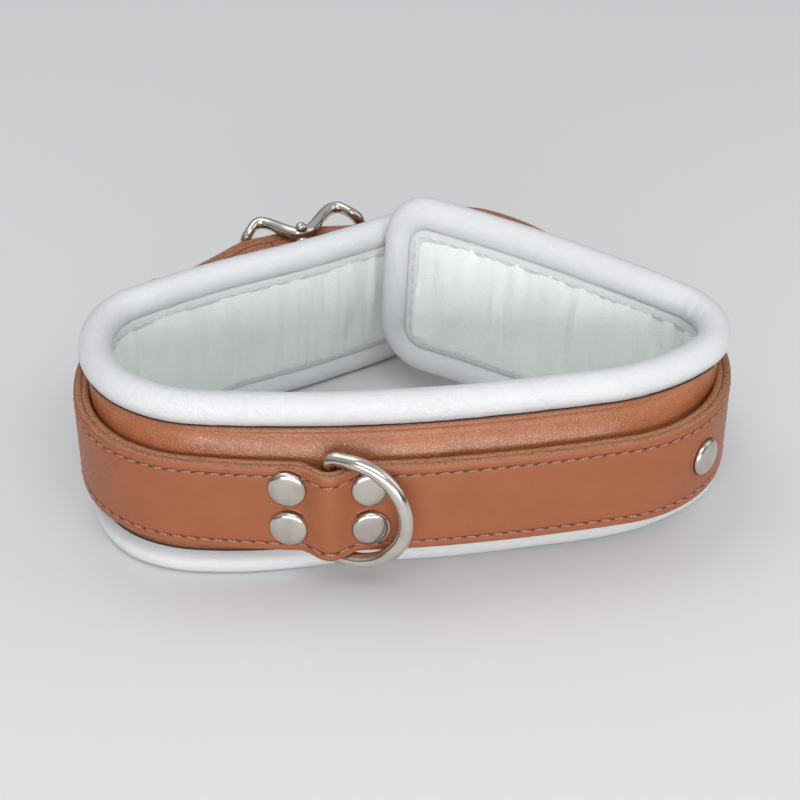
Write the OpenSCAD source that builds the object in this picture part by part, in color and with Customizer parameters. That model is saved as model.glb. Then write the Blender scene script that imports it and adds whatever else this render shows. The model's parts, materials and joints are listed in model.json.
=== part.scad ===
// Padded leather dog collar: a foam-filled neck pad bound in rolled leather, a stitched
// leather strap riveted to its outside, a lead ring, and a centre-bar buckle at the back.
// Millimetres. +X runs along the longest side, +Y points to the buckle, +Z is up.

/* [Neck pad] */
// Height of the pad over its edge rolls
pad_height = 51; // [48:0.5:56]
// Radius of the rolled leather edge
roll_radius = 4.3; // [4:0.1:4.6]
// Centre-line radius of the pad's four corners
corner_radius = 9; // [8:0.5:11]
// Thickness of the soft leather cover
cover_thickness = 1.1; // [0.8:0.1:1.2]
// Thickness of the smooth lining
lining_thickness = 0.9; // [0.6:0.1:1]
// How far the lining side is padded beyond the rolls' inner shoulder
lining_puff = 1.6; // [0:0.1:2]

/* [Strap] */
// Width of the strap
strap_width = 25; // [24:0.5:25]
// Thickness of each of the strap's two leather layers
layer_thickness = 2.1; // [1.9:0.1:2.1]
// Distance of the seams from the strap's edges
seam_inset = 2.4; // [2:0.1:3]
// Height of the strap's lower edge above the surface that the collar stands on
strap_base = 12.5; // [12:0.5:13]
// How much higher the strap runs at the buckle than at the front
strap_lift = 3; // [0:0.5:4]

/* [Lead ring] */
// Wire diameter of the ring
ring_wire = 3.8; // [3.4:0.1:3.9]
// Clear height inside the ring
ring_inside = 25.8; // [25.6:0.1:26.5]
// Distance from the middle of the bar to the middle of the bow
ring_depth = 20.2; // [19:0.1:22]
// Angle at which the ring rests out from the strap
ring_lean = 20; // [20:1:28]

/* [Rivets] */
// Diameter of the rivet caps
cap_diameter = 9.9; // [9.4:0.1:10]
// Height of a cap's dome
cap_dome = 1.1; // [0.8:0.1:1.2]
// Distance from the ring's bar to each rivet pair
rivet_offset = 10.1; // [10:0.1:11]
// Height difference between the rivets of a pair
rivet_spacing = 11.8; // [11:0.1:12.5]
// Height of each pair's middle above the strap's middle
rivet_lift = 1.1; // [0:0.1:1.2]

/* [Buckle] */
// Length of the frame over its end bars
frame_length = 40; // [39.6:0.2:41]
// Distance from the frame's middle to its centre bar
bar_offset = 2.9; // [2.6:0.1:3]
// Height of the frame over its rails
frame_width = 33.4; // [33:0.2:36]
// Thickness of the frame's wire
frame_wire = 3.6; // [3.2:0.1:3.7]
// Diameter of the centre bar
bar_diameter = 3.2; // [3:0.1:3.2]
// Width of the prong
prong_width = 2.8; // [2.4:0.1:3]

/* [Keeper] */
// Width of the keeper loop along the strap
keeper_width = 9; // [8:0.5:10]
// Thickness of the keeper's leather
keeper_thickness = 1.3; // [1.2:0.1:1.5]

/* [Hidden] */

fit_gap = 0.15;
// Colours
cover_brown = [0.62, 0.29, 0.14];
strap_brown = [0.66, 0.38, 0.26];
edge_tan = [0.72, 0.51, 0.36];
binding_white = [0.9, 0.91, 0.93];
lining_mint = [0.85, 0.9, 0.87];
foam_cream = [0.93, 0.88, 0.7];
thread_rose = [0.72, 0.45, 0.38];
nickel = [0.74, 0.73, 0.7];

// ---- Plan lines. A line is a chain of [length, turn in degrees] runs. ----
// The whole collar is drawn from these, then centred over the origin
centre_shift = [-1.32, -0.64, 0];

// Middle of the pad at its upper roll: left flank, left bend, front, right bend, right flank
pad_start = [8.8, 54.5, 218.9];
pad_runs = [[57, -12], [40, 11.5], [9, 32], [60.5, 105], [71, 15], [30, 2.5],
    [33.5, 36.5], [26.5, 96.5], [84, 16]];

// The buckle's centre bar in plan, and the direction in which the frame lies
bar_centre = [-29, 50];
buckle_turn = 19;
// The strap's middle surface leaves the fold at the bar, goes once round and under the frame
fold_length = 9;
strap_start = [bar_centre[0] - fold_length * cos(buckle_turn),
    bar_centre[1] - fold_length * sin(buckle_turn), 180 + buckle_turn];
strap_runs = [[2, 0.1], [6.6, 34.4], [37.2, -9.7], [16.2, 21.7], [33.2, 36.9], [41.8, 68.4],
    [66.8, 17.5], [45.5, 6.1], [35.4, 55.7], [51, 61.9], [65, 10.6], [18.4, 61.9],
    [19.2, -5.5], [11, -16], [11, 16], [5.5, 16.5], [5.5, -16.5], [9.3, 34.5], [44, -11.8]];

// Next state [x, y, heading, travelled] of a line after a run
function after(p, run) =
    let(bend = run[1] / 2, arc = bend * PI / 180,
        chord = abs(bend) < 0.001 ? run[0] : run[0] * sin(bend) / arc)
    [p[0] + chord * cos(p[2] + bend), p[1] + chord * sin(p[2] + bend), p[2] + run[1],
     p[3] + run[0]];
function states(p, runs, i = 0) =
    i == len(runs) ? [p] : concat([p], states(after(p, runs[i]), runs, i + 1));
function run_index(st, s, i = 0) =
    i >= len(st) - 2 || s < st[i + 1][3] ? i : run_index(st, s, i + 1);
// State of a line at a travelled distance
function along(st, runs, s) =
    let(i = run_index(st, s), u = s - st[i][3])
    after(st[i], [u, runs[i][1] * u / runs[i][0]]);
// Travelled distances that follow the bends closely and the straights loosely
function stations(st, runs, from, to, bend_step = 9, straight_step = 13) =
    concat([from],
        [for (i = [0:len(runs) - 1])
            let(n = max(1, ceil(abs(runs[i][1]) / bend_step), ceil(runs[i][0] / straight_step)))
            for (k = [1:n])
                let(s = st[i][3] + runs[i][0] * k / n)
                if (s > from + 1.5 && s < to - 1.5) s],
        [to]);
function outward(p) = [sin(p[2]), -cos(p[2])];
function smooth(t) = let(c = min(1, max(0, t))) c * c * (3 - 2 * c);

pad_line = states([pad_start[0], pad_start[1], pad_start[2], 0], pad_runs);
pad_length = pad_line[len(pad_runs)][3];
strap_line = states([strap_start[0], strap_start[1], strap_start[2], 0], strap_runs);
strap_length = strap_line[len(strap_runs)][3];

// ---- The pad's shape across and along ----
roll_low = roll_radius;
roll_high = pad_height - roll_radius;
fill_low = 2 * roll_radius + 0.1;
fill_high = pad_height - fill_low;
// The right flank rises towards its end, because it lies inside the left one
flank_rise = 11.3;
rise_from = 306;
function rise(s) = flank_rise * pow(max(0, (s - rise_from) / (pad_length - rise_from)), 1.15);
// The right flank leans out at its top, and the left flank leans in
right_lean = 6.8;
left_lean = 4.8;
function lean(s) = right_lean * smooth((s - 305) / 45) - left_lean * (1 - smooth((s - 60) / 50));
// How far the lower roll is splayed out at the front left, as [distance along, splay]
splay_rows = [[0, 0], [112, 0], [130, 0.6], [139, 2.6], [147, 4.7], [155, 5.2], [165, 4.6],
    [176, 4.1], [187, 2.3], [199, 0.2], [206, 0], [414, 0]];
splay_from = 4.5;
splay_run = 7;
function row_index(rows, s, i = 0) =
    i >= len(rows) - 2 || s < rows[i + 1][0] ? i : row_index(rows, s, i + 1);
function row_value(rows, s) =
    let(i = row_index(rows, s), a = rows[i], b = rows[i + 1])
    a[1] + (b[1] - a[1]) * (s - a[0]) / (b[0] - a[0]);
function splay(s, z) = row_value(splay_rows, s) * (1 - smooth((z - splay_from) / splay_run));
// A point of the pad: distance along, distance out from the middle, height
function pad_point(s, out, z) =
    let(p = along(pad_line, pad_runs, s), n = outward(p),
        o = out + lean(s) * (z - roll_high) / (roll_high - roll_low) + splay(s, z))
    [p[0] + n[0] * o, p[1] + n[1] * o, z + rise(s)] + centre_shift;

// How far the cover is puffed beyond the roll's shoulder, as [distance along, puff]: flat
// where the strap is pulled tight round the bends, full on the front and the flanks
shoulder = 2.3;
puff_rows = [[0, 3.4], [44, 4.2], [58, 2.8], [66, 0.9], [74, -1.2], [80, -1.9], [89, -2.6],
    [94, -1.9], [99, -2.0], [104, -2.6], [115, -2.6], [126, -1.4], [141, 1.4], [155, 3.1], [170, 3.8], [196, 5],
    [235, 5.7], [278, 5.7], [288, 4], [297, 0.9], [306, -2.2], [314, -2.6], [322, -1],
    [332, 1.8], [350, 3.4], [414, 3.4]];
function puff(s) = row_value(puff_rows, s);
end_fade = 14;
function fade(s) =
    pow(sin(90 * min(1, max(0, min(s, pad_length - s) - roll_radius) / end_fade)), 0.7);
function crown(z) = pow(max(0, sin(180 * (z - fill_low) / (fill_high - fill_low))), 0.6);
// A puff is crowned between the rolls; where the strap presses, the cover lies flat
function core_out(s, z) = let(p = puff(s)) shoulder + p * (p > 0 ? crown(z) : 1) * fade(s);
function core_in(s, z) = -1.9 - lining_puff * crown(z) * fade(s);

// Where the filling starts behind an end roll, at a height
inner_corner = corner_radius - roll_radius - 0.1;
function end_inset(z) =
    let(q = max(0, inner_corner - (z - fill_low), inner_corner - (fill_high - z)))
    roll_radius + 0.1 + inner_corner - sqrt(max(0, inner_corner * inner_corner - q * q));
function inset_station(s, z) =
    let(a = end_inset(z), r = corner_radius, left = pad_length - s)
    s < r ? a + s / r * (r - a) : left < r ? pad_length - a - left / r * (r - a) : s;
fill_stations = concat([0, 3, 6],
    stations(pad_line, pad_runs, corner_radius, pad_length - corner_radius),
    [pad_length - 6, pad_length - 3, pad_length]);
fill_heights = [for (k = [0:8]) fill_low + (fill_high - fill_low) * (1 - cos(22.5 * k)) / 2];

// ---- Solids swept along a line ----
// A wall between two skins: each skin is a list of rows of points, one row at each station
module wall(outer, inner) {
    n = len(outer);
    m = len(outer[0]);
    row = 2 * m;
    points = [for (i = [0:n - 1]) for (p = concat(outer[i], inner[i])) p];
    function quad(a, b, c, d) = [[a, b, c], [a, c, d]];
    faces = concat(
        [for (i = [0:n - 2]) for (j = [0:m - 2])
            for (f = quad(i * row + j, i * row + j + 1, (i + 1) * row + j + 1, (i + 1) * row + j))
                f],
        [for (i = [0:n - 2]) for (j = [m:2 * m - 2])
            for (f = quad(i * row + j, (i + 1) * row + j, (i + 1) * row + j + 1, i * row + j + 1))
                f],
        [for (i = [0:n - 2])
            for (f = concat(
                quad(i * row, (i + 1) * row, (i + 1) * row + m, i * row + m),
                quad(i * row + m - 1, i * row + row - 1, (i + 1) * row + row - 1,
                    (i + 1) * row + m - 1)))
                f],
        [for (j = [0:m - 2]) for (f = quad(j, m + j, m + j + 1, j + 1)) f],
        [for (j = [0:m - 2])
            for (f = quad((n - 1) * row + j, (n - 1) * row + j + 1, (n - 1) * row + m + j + 1,
                (n - 1) * row + m + j))
                f]);
    polyhedron(points, faces, convexity = 6);
}

// A closed loop of a many-sided section: rings is a list of lists of points
module loop_tube(rings) {
    n = len(rings);
    m = len(rings[0]);
    points = [for (r = rings) for (p = r) p];
    faces = [for (i = [0:n - 1]) for (j = [0:m - 1])
        let(a = i * m + j, b = i * m + (j + 1) % m, c = ((i + 1) % n) * m + (j + 1) % m,
            d = ((i + 1) % n) * m + j)
        for (f = [[a, b, c], [a, c, d]]) f];
    polyhedron(points, faces, convexity = 6);
}

module pad_wall(outer_fn, inner_fn) {
    wall([for (s = fill_stations) [for (z = fill_heights) let(t = inset_station(s, z))
            pad_point(t, outer_fn(t, z), z)]],
        [for (s = fill_stations) [for (z = fill_heights) let(t = inset_station(s, z))
            pad_point(t, inner_fn(t, z), z)]]);
}

// ---- Neck pad ----
skin_gap = 0.06;

module foam_core() {
    color(foam_cream)
        pad_wall(function(s, z) core_out(s, z), function(s, z) core_in(s, z));
}

module outer_cover() {
    color(cover_brown)
        pad_wall(function(s, z) core_out(s, z) + skin_gap + cover_thickness,
            function(s, z) core_out(s, z) + skin_gap);
}

module inner_lining() {
    color(lining_mint)
        pad_wall(function(s, z) core_in(s, z) - skin_gap,
            function(s, z) core_in(s, z) - skin_gap - lining_thickness);
}

// The pad's rim as [along, height, direction that faces out of the pad's outline]
rim_span = stations(pad_line, pad_runs, corner_radius, pad_length - corner_radius);
rim_corner_steps = 4;
function rim_corner(s, z, from) =
    [for (k = [1:rim_corner_steps - 1])
        let(a = from + 90 * k / rim_corner_steps)
        [s + corner_radius * cos(a), z + corner_radius * sin(a), a]];
function rim(inset) =
    let(low = roll_low + inset, high = roll_high - inset, left = inset,
        right = pad_length - inset, r = corner_radius)
    concat(
        [for (s = rim_span) [s, low, -90]],
        [for (p = rim_corner(pad_length - r, roll_low + r, -90)) p],
        [[right, roll_low + r, 0], [right, pad_height / 2, 0], [right, roll_high - r, 0]],
        [for (p = rim_corner(pad_length - r, roll_high - r, 0)) p],
        [for (i = [len(rim_span) - 1:-1:0]) [rim_span[i], high, 90]],
        [for (p = rim_corner(r, roll_high - r, 90)) p],
        [[left, roll_high - r, 180], [left, pad_height / 2, 180], [left, roll_low + r, 180]],
        [for (p = rim_corner(r, roll_low + r, 180)) p]);

// The roll is ten-sided with a narrow flat underneath, on which the collar rests
roll_sides = 10;
roll_outer = roll_radius / cos(180 / roll_sides);
module edge_binding() {
    color(binding_white)
        loop_tube([for (r = rim(0))
            [for (k = [0:roll_sides - 1])
                let(a = 360 * (k + 0.5) / roll_sides, out = roll_outer * cos(a))
                pad_point(r[0] + out * cos(r[2]), -roll_outer * sin(a),
                    r[1] + out * sin(r[2]))]]);
}

// White thread on the lining side, just inside the roll
seam_out = -3.4;
seam_half = 0.35;
module binding_seam() {
    inset = roll_radius + 0.55;
    color(binding_white)
        loop_tube([for (r = rim(0))
            [for (c = [[1, 1], [-1, 1], [-1, -1], [1, -1]])
                let(depth = inset - seam_half * c[0])
                pad_point(r[0] - depth * cos(r[2]),
                    seam_out - 0.15 + seam_half * 0.5 * c[1], r[1] - depth * sin(r[2]))]]);
}

// ---- Strap ----
strap_half = layer_thickness;
strap_top = strap_base + strap_width;
// The strap bulges over the lead ring's bar
ring_at = 173.1;
bulge_height = 4.5;
bulge_half = 8;
function bulge(s) =
    abs(s - ring_at) >= bulge_half ? 0 : bulge_height * pow(cos(90 * (s - ring_at) / bulge_half), 2);
// It climbs a little towards the buckle from both sides
left_climb = 48;
right_climb = 330;
climb_run = 70;
// On the right flank the pad carries the strap a little higher still
flank_lift = 2.2;
flank_from = 352;
flank_run = 75;
function strap_rise(s) =
    strap_lift * (1 - smooth((s - left_climb) / climb_run) + smooth((s - right_climb) / climb_run))
    + flank_lift * pow(sin(180 * min(1, max(0, (s - flank_from) / flank_run))), 2);
function strap_point(s, out, z) =
    let(p = along(strap_line, strap_runs, s), n = outward(p), o = out + bulge(s))
    [p[0] + n[0] * o, p[1] + n[1] * o, z + strap_rise(s)] + centre_shift;
// The tail's tip is rounded
tip_length = 11;
function tip_half(s) =
    let(t = max(0, (s - (strap_length - tip_length)) / tip_length))
    strap_width / 2 * sqrt(max(0.03, 1 - t * t));
ring_stations = [for (k = [-8:8]) ring_at + bulge_half * k / 8];
strap_stations = concat(
    [for (s = stations(strap_line, strap_runs, 0, ring_at - bulge_half, 7, 16)) s],
    [for (k = [1:len(ring_stations) - 2]) ring_stations[k]],
    [for (s = stations(strap_line, strap_runs, ring_at + bulge_half, strap_length - tip_length,
        7, 16)) s],
    [for (t = [0.35, 0.62, 0.82, 0.94, 1]) strap_length - tip_length + tip_length * t]);

module strap_layer(low, high) {
    middle = strap_base + strap_width / 2;
    wall([for (s = strap_stations)
            [strap_point(s, high, middle - tip_half(s)), strap_point(s, high, middle + tip_half(s))]],
        [for (s = strap_stations)
            [strap_point(s, low, middle - tip_half(s)), strap_point(s, low, middle + tip_half(s))]]);
}

// Places children on the strap's middle surface: x along the strap, y outward, z up from the
// strap's middle height
module on_strap(s, turn = 0) {
    p = along(strap_line, strap_runs, s);
    translate([p[0], p[1], strap_base + strap_width / 2 + strap_rise(s)] + centre_shift)
        rotate([0, 0, p[2] - 180 + turn])
            children();
}

// Places children at the buckle: x along the frame towards the tail's side, y outward
module at_buckle() {
    translate([bar_centre[0], bar_centre[1], strap_base + strap_width / 2 + strap_lift]
        + centre_shift)
        rotate([0, 0, buckle_turn])
            children();
}

// The tail's slot for the prong, and the row of holes for the other neck sizes
slot_from = -0.6;
slot_to = 9.6;
hole_diameter = 4.2;
hole_pitch = 19;
first_hole = 438.4 - 10;
module tail_openings() {
    at_buckle()
        translate([slot_from, 0, -hole_diameter / 2])
            cube([slot_to - slot_from, 14, hole_diameter]);
    for (k = [0:2])
        on_strap(first_hole - hole_pitch * k)
            rotate([90, 0, 0])
                cylinder(h = 12, d = hole_diameter, center = true, $fn = 48);
}

module strap_outer_layer() {
    color(strap_brown)
        difference() {
            strap_layer(0.02, strap_half);
            tail_openings();
        }
}

module strap_backing() {
    color(edge_tan)
        difference() {
            strap_layer(-strap_half, -0.02);
            tail_openings();
        }
}

module strap_seam(z) {
    top = strap_half + 0.12;
    foot = strap_half + 0.02;
    last = strap_length - tip_length;
    kept = [for (s = strap_stations) if (s <= last) s];
    color(thread_rose)
        wall([for (s = kept) [strap_point(s, top, z - 0.3), strap_point(s, top, z + 0.3)]],
            [for (s = kept) [strap_point(s, foot, z - 0.3), strap_point(s, foot, z + 0.3)]]);
}

module strap_seam_upper() {
    strap_seam(strap_top - seam_inset);
}

module strap_seam_lower() {
    strap_seam(strap_base + seam_inset);
}

// ---- Lead ring ----
ring_bow = ring_inside / 2 + ring_wire / 2;
ring_arm = ring_depth - ring_bow;
bar_out = -strap_half + bulge_height - 0.35 - ring_wire / 2;
ring_corner = 2.5;

// One quarter turn of wire from +X to +Y about the origin
module wire_turn(radius, angle, wire) {
    rotate_extrude(angle = angle, $fn = 96)
        translate([radius, 0])
            circle(d = wire, $fn = 32);
}

module lead_ring() {
    color(nickel)
        on_strap(ring_at)
            translate([0, bar_out, 0])
                rotate([0, 0, 180 - ring_lean])
                    mirror([0, 1, 0])
                        rotate([90, 0, 0]) {
                            cylinder_span = 2 * (ring_bow - ring_corner);
                            translate([0, -cylinder_span / 2, 0])
                                rotate([-90, 0, 0])
                                    cylinder(h = cylinder_span, d = ring_wire, $fn = 48);
                            for (side = [0, 1])
                                mirror([0, side, 0]) {
                                    translate([ring_corner, ring_bow - ring_corner, 0])
                                        rotate([0, 0, 90])
                                            wire_turn(ring_corner, 90, ring_wire);
                                    translate([ring_corner, ring_bow, 0])
                                        rotate([0, 90, 0])
                                            cylinder(h = ring_arm - ring_corner, d = ring_wire,
                                                $fn = 48);
                                    translate([ring_arm, 0, 0])
                                        wire_turn(ring_bow, 90, ring_wire);
                                }
                        }
}

// ---- Rivets ----
cap_lift = 0.55;
side_lift = 0.45;
rim_height = 0.45;
post_diameter = 3;
washer_diameter = 8;
washer_thickness = 0.8;
washer_depth = 5.6;
cap_tilt = 5;
side_rivets = [61, 272];

// A flat-domed cap with its foot on the origin's plane, facing outward along +Y
module cap() {
    r = cap_diameter / 2;
    dome = (r * r + cap_dome * cap_dome) / (2 * cap_dome);
    rotate([-90, 0, 0]) {
        cylinder(h = rim_height, d = cap_diameter, $fn = 64);
        translate([0, 0, rim_height])
            intersection() {
                cylinder(h = 3, d = cap_diameter, $fn = 64);
                translate([0, 0, cap_dome - dome])
                    sphere(r = dome, $fn = 96);
            }
    }
}

module post(top) {
    translate([0, top, 0])
        rotate([90, 0, 0])
            cylinder(h = top + washer_depth, d = post_diameter, $fn = 48);
}

module washer() {
    translate([0, -washer_depth, 0])
        rotate([90, 0, 0])
            cylinder(h = washer_thickness, d = washer_diameter, $fn = 48);
}

// The four rivets beside the ring, each pair leaning away from the bulge
module at_ring_rivets() {
    for (side = [-1, 1])
        for (level = [-1, 1])
            on_strap(ring_at + side * rivet_offset)
                translate([0, 0, rivet_lift + level * rivet_spacing / 2])
                    rotate([0, 0, side * cap_tilt])
                        children();
}

module at_side_rivets() {
    for (s = side_rivets)
        on_strap(s)
            children();
}

module ring_rivet_caps() {
    color(nickel) at_ring_rivets() translate([0, strap_half + cap_lift, 0]) cap();
}

module ring_rivet_posts() {
    color(nickel) at_ring_rivets() post(strap_half + cap_lift);
}

module ring_rivet_washers() {
    color(nickel) at_ring_rivets() washer();
}

module side_rivet_caps() {
    color(nickel) at_side_rivets() translate([0, strap_half + side_lift, 0]) cap();
}

module side_rivet_posts() {
    color(nickel) at_side_rivets() post(strap_half + side_lift);
}

module side_rivet_washers() {
    color(nickel) at_side_rivets() washer();
}

// ---- Buckle ----
frame_half = frame_length / 2 - frame_wire / 2;
rail_half = frame_width / 2 - frame_wire / 2;
frame_corner = 6;
// Heights of the frame's left and right humps, and how far the end bars lie below them
humps = [10.4, 12.6];
end_drops = [2.6, 4.2];
drop_runs = [5, 6.6];
// How far the frame stands out from the centre bar, at a distance along it
function arch(x) =
    let(side = x > 0 ? 1 : 0,
        reach = frame_half + (x > 0 ? bar_offset : -bar_offset) - drop_runs[side])
    humps[side] * smooth(abs(x) / reach) - end_drops[side] * smooth((abs(x) - reach) / 5);
// The wire keeps its thickness across the arch's slopes
function slope_factor(x) =
    let(slope = (arch(x + 0.01) - arch(x - 0.01)) / 0.02) sqrt(1 + slope * slope);
function frame_line() =
    let(r = frame_corner, steps = 6, a = frame_half - r, b = rail_half - r)
    concat(
        [for (x = [-a:a / 9:a + 0.001]) [x, -rail_half, -90]],
        [for (k = [1:steps - 1]) let(q = -90 + 90 * k / steps) [a + r * cos(q), -b + r * sin(q), q]],
        [for (z = [-b:b:b]) [frame_half, z, 0]],
        [for (k = [1:steps - 1]) let(q = 90 * k / steps) [a + r * cos(q), b + r * sin(q), q]],
        [for (x = [a:-a / 9:-a - 0.001]) [x, rail_half, 90]],
        [for (k = [1:steps - 1]) let(q = 90 + 90 * k / steps) [-a + r * cos(q), b + r * sin(q), q]],
        [for (z = [b:-b:-b]) [-frame_half, z, 180]],
        [for (k = [1:steps - 1]) let(q = 180 + 90 * k / steps)
            [-a + r * cos(q), -b + r * sin(q), q]]);

module buckle_frame() {
    sides = 12;
    color(nickel)
        at_buckle()
            difference() {
                loop_tube([for (f = frame_line())
                    [for (k = [0:sides - 1])
                        let(a = 360 * k / sides, out = frame_wire / 2 * cos(a),
                            x = bar_offset + f[0] + out * cos(f[2]),
                            thick = frame_wire / 2 * sin(a) * slope_factor(x))
                        [x, arch(x) - thick, f[1] + out * sin(f[2])]]]);
                cylinder(h = frame_width + 4, d = bar_diameter - 0.02, center = true, $fn = 64);
            }
}

// The bar stops at the rails' outer sides, where a head is peened over at each end
module centre_bar() {
    color(nickel)
        at_buckle()
            cylinder(h = frame_width + 0.4, d = bar_diameter - 0.04, center = true, $fn = 64);
}

module bar_heads() {
    color(nickel)
        at_buckle()
            for (side = [-1, 1])
                translate([0, 0, side * (frame_width / 2 + 0.2)])
                    intersection() {
                        sphere(d = 3.4, $fn = 48);
                        translate([0, 0, side * 1.5]) cube([6, 6, 3], center = true);
                    }
}

// The prong's side outline: out of the slot, then along the tail to rest on the end bar
prong_path = [[1.2, 3.0], [3.4, 5.6], [6.8, 9.0], [10.8, 10.9], [16.2, 12.2], [21.9, 12.4],
    [25.1, 11.6], [24.9, 9.95], [21.5, 10.6], [16.6, 10.2], [11.7, 9.0], [8.2, 7.2],
    [5.4, 4.3], [3.2, 1.2]];
prong_eye = 7.2;
module buckle_prong() {
    color(nickel)
        at_buckle()
            difference() {
                union() {
                    cylinder(h = prong_width + 1.2, d = prong_eye, center = true, $fn = 64);
                    linear_extrude(height = prong_width, center = true)
                        polygon(prong_path);
                }
                cylinder(h = 10, d = bar_diameter + 0.1, center = true, $fn = 64);
            }
}

// The strap's end is folded round the centre bar, with a window for the prong
fold_outer = 3.75;
fold_window = 7;
module buckle_fold() {
    reach = fold_length - 0.1;
    color(strap_brown)
        at_buckle()
            difference() {
                linear_extrude(height = strap_width, center = true)
                    union() {
                        circle(r = fold_outer, $fn = 96);
                        polygon([[0, 3], [0, -3], [-reach, -strap_half], [-reach, strap_half]]);
                    }
                cylinder(h = strap_width + 2, d = bar_diameter + 0.3, center = true, $fn = 64);
                cube([11, 12, fold_window], center = true);
            }
}

// Two rows of stitches close the fold behind the bar, on its outer and inner face
module fold_seam() {
    color(thread_rose)
        at_buckle()
            for (level = [-9.2, -5.9, 5.9, 9.2])
                for (side = [-1, 1])
                    translate([-6.3, side * 2.56, level])
                        cylinder(h = 2.4, d = 0.34, center = true, $fn = 16);
}

// ---- Keeper ----
keeper_at = 43;
stack_low = -strap_half;
stack_high = strap_half + 4.55;
keeper_play = 0.5;
module keeper_loop() {
    inner_low = stack_low - keeper_play;
    inner_high = stack_high + keeper_play;
    inner_half = strap_width / 2 + keeper_play;
    t = keeper_thickness;
    color(strap_brown)
        on_strap(keeper_at)
            rotate([0, 90, 0])
                linear_extrude(height = keeper_width, center = true)
                    difference() {
                        rounded_box(inner_half + t, inner_low - t, inner_high + t, 1.6);
                        rounded_box(inner_half, inner_low, inner_high, 0.5);
                    }
}

module rounded_box(half, low, high, r) {
    for (x = [-1, 1])
        for (y = [low + r, high - r])
            translate([x * (half - r), y])
                circle(r = r, $fn = 32);
    translate([-half + r, low])
        square([2 * (half - r), high - low]);
    translate([-half, low + r])
        square([2 * half, high - low - 2 * r]);
}

// A flat wire staple closes the keeper on its inner side
module keeper_staple() {
    wire = 0.8;
    reach = 5.5;
    color(nickel)
        on_strap(keeper_at)
            translate([0, stack_low - keeper_play - keeper_thickness - wire / 2 - 0.02, 0])
                for (x = [-2.6, 2.6])
                    translate([x, 0, 0])
                        cylinder(h = 2 * reach, d = wire, center = true, $fn = 24);
}

foam_core();
outer_cover();
inner_lining();
edge_binding();
binding_seam();
strap_outer_layer();
strap_backing();
strap_seam_upper();
strap_seam_lower();
lead_ring();
ring_rivet_caps();
ring_rivet_posts();
ring_rivet_washers();
side_rivet_caps();
side_rivet_posts();
side_rivet_washers();
buckle_frame();
centre_bar();
bar_heads();
buckle_prong();
buckle_fold();
fold_seam();
keeper_loop();
keeper_staple();
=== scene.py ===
"""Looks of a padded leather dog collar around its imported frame.

A foam pad bound in a rolled pale leather edge carries a stitched two-layer strap, riveted on,
with a swinging lead ring in front and a centre-bar buckle and a sliding keeper behind.
Sizes are in millimetres and are turned into metres where a mesh is made.
"""

import json
import logging
import math
from collections.abc import Callable, Sequence
from dataclasses import dataclass, field
from enum import Enum

import bpy
import numpy as np
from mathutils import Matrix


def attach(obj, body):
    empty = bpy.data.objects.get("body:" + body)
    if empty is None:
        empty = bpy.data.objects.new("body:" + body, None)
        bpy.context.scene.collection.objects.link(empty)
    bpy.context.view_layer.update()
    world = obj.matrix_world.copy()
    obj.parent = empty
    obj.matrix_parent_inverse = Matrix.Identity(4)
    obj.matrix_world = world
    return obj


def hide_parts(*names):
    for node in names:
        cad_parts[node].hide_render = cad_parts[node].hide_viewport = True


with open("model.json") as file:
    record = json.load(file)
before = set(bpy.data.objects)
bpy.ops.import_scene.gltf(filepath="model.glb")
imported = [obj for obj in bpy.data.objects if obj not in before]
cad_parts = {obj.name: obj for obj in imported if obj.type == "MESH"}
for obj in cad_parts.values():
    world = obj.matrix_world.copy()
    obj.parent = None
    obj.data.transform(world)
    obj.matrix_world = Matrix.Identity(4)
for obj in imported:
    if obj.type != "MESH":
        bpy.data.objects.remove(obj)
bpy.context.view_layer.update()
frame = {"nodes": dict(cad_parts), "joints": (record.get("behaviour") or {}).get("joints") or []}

LOG = logging.getLogger("collar")
MM = 0.001
Array = np.ndarray
UP = np.array([0.0, 0.0, 1.0])
# The collar's plan lines are drawn about their own origin and then centred by this shift
PLAN_SHIFT = np.array([-1.32, -0.64])
# Texture places run 1 for each 100 mm along and across a piece
UV_SCALE = 0.01


class Body(Enum):
    """The rigid bodies that pieces ride on."""

    COLLAR = "collar"
    RING = "ring"
    PRONG = "prong"
    KEEPER = "keeper"


class Slot(Enum):
    """The record's material slots."""

    COVER = "cover_leather"
    LINING = "lining_leather"
    BINDING = "binding_leather"
    PALE_THREAD = "pale_thread"
    STRAP = "strap_leather"
    STRAP_THREAD = "strap_thread"
    POLISHED = "polished_nickel"
    SATIN = "satin_nickel"


# ---- Numbers along and across ----


def smooth(t: Array | float) -> Array:
    """Gives the S-shaped step 3t^2 - 2t^3 of t held between 0 and 1."""
    c = np.clip(t, 0.0, 1.0)
    return c * c * (3.0 - 2.0 * c)


def hump(x: Array, centre: float, half: float) -> Array:
    """Gives a cosine-squared bump of height 1 that is zero beyond half on each side of centre."""
    u = np.clip((x - centre) / half, -1.0, 1.0)
    return np.cos(0.5 * math.pi * u) ** 2


def value_noise(x: Array, y: Array, seed: int, size: int = 64) -> Array:
    """Gives smooth noise from -1 to 1: random values on a unit lattice, joined by S-shaped steps.

    Args:
        x: Places across, in lattice cells.
        y: Places up, in lattice cells.
        seed: Seed of the lattice's random values.
        size: Number of cells after which the lattice repeats.

    Returns:
        The noise at each place.
    """
    lattice = np.random.default_rng(seed).uniform(-1.0, 1.0, (size, size))
    xi, yi = np.floor(x).astype(int), np.floor(y).astype(int)
    u, v = smooth(x - xi), smooth(y - yi)
    a = lattice[xi % size, yi % size]
    b = lattice[(xi + 1) % size, yi % size]
    c = lattice[xi % size, (yi + 1) % size]
    d = lattice[(xi + 1) % size, (yi + 1) % size]
    return (a * (1 - u) + b * u) * (1 - v) + (c * (1 - u) + d * u) * v


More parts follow.
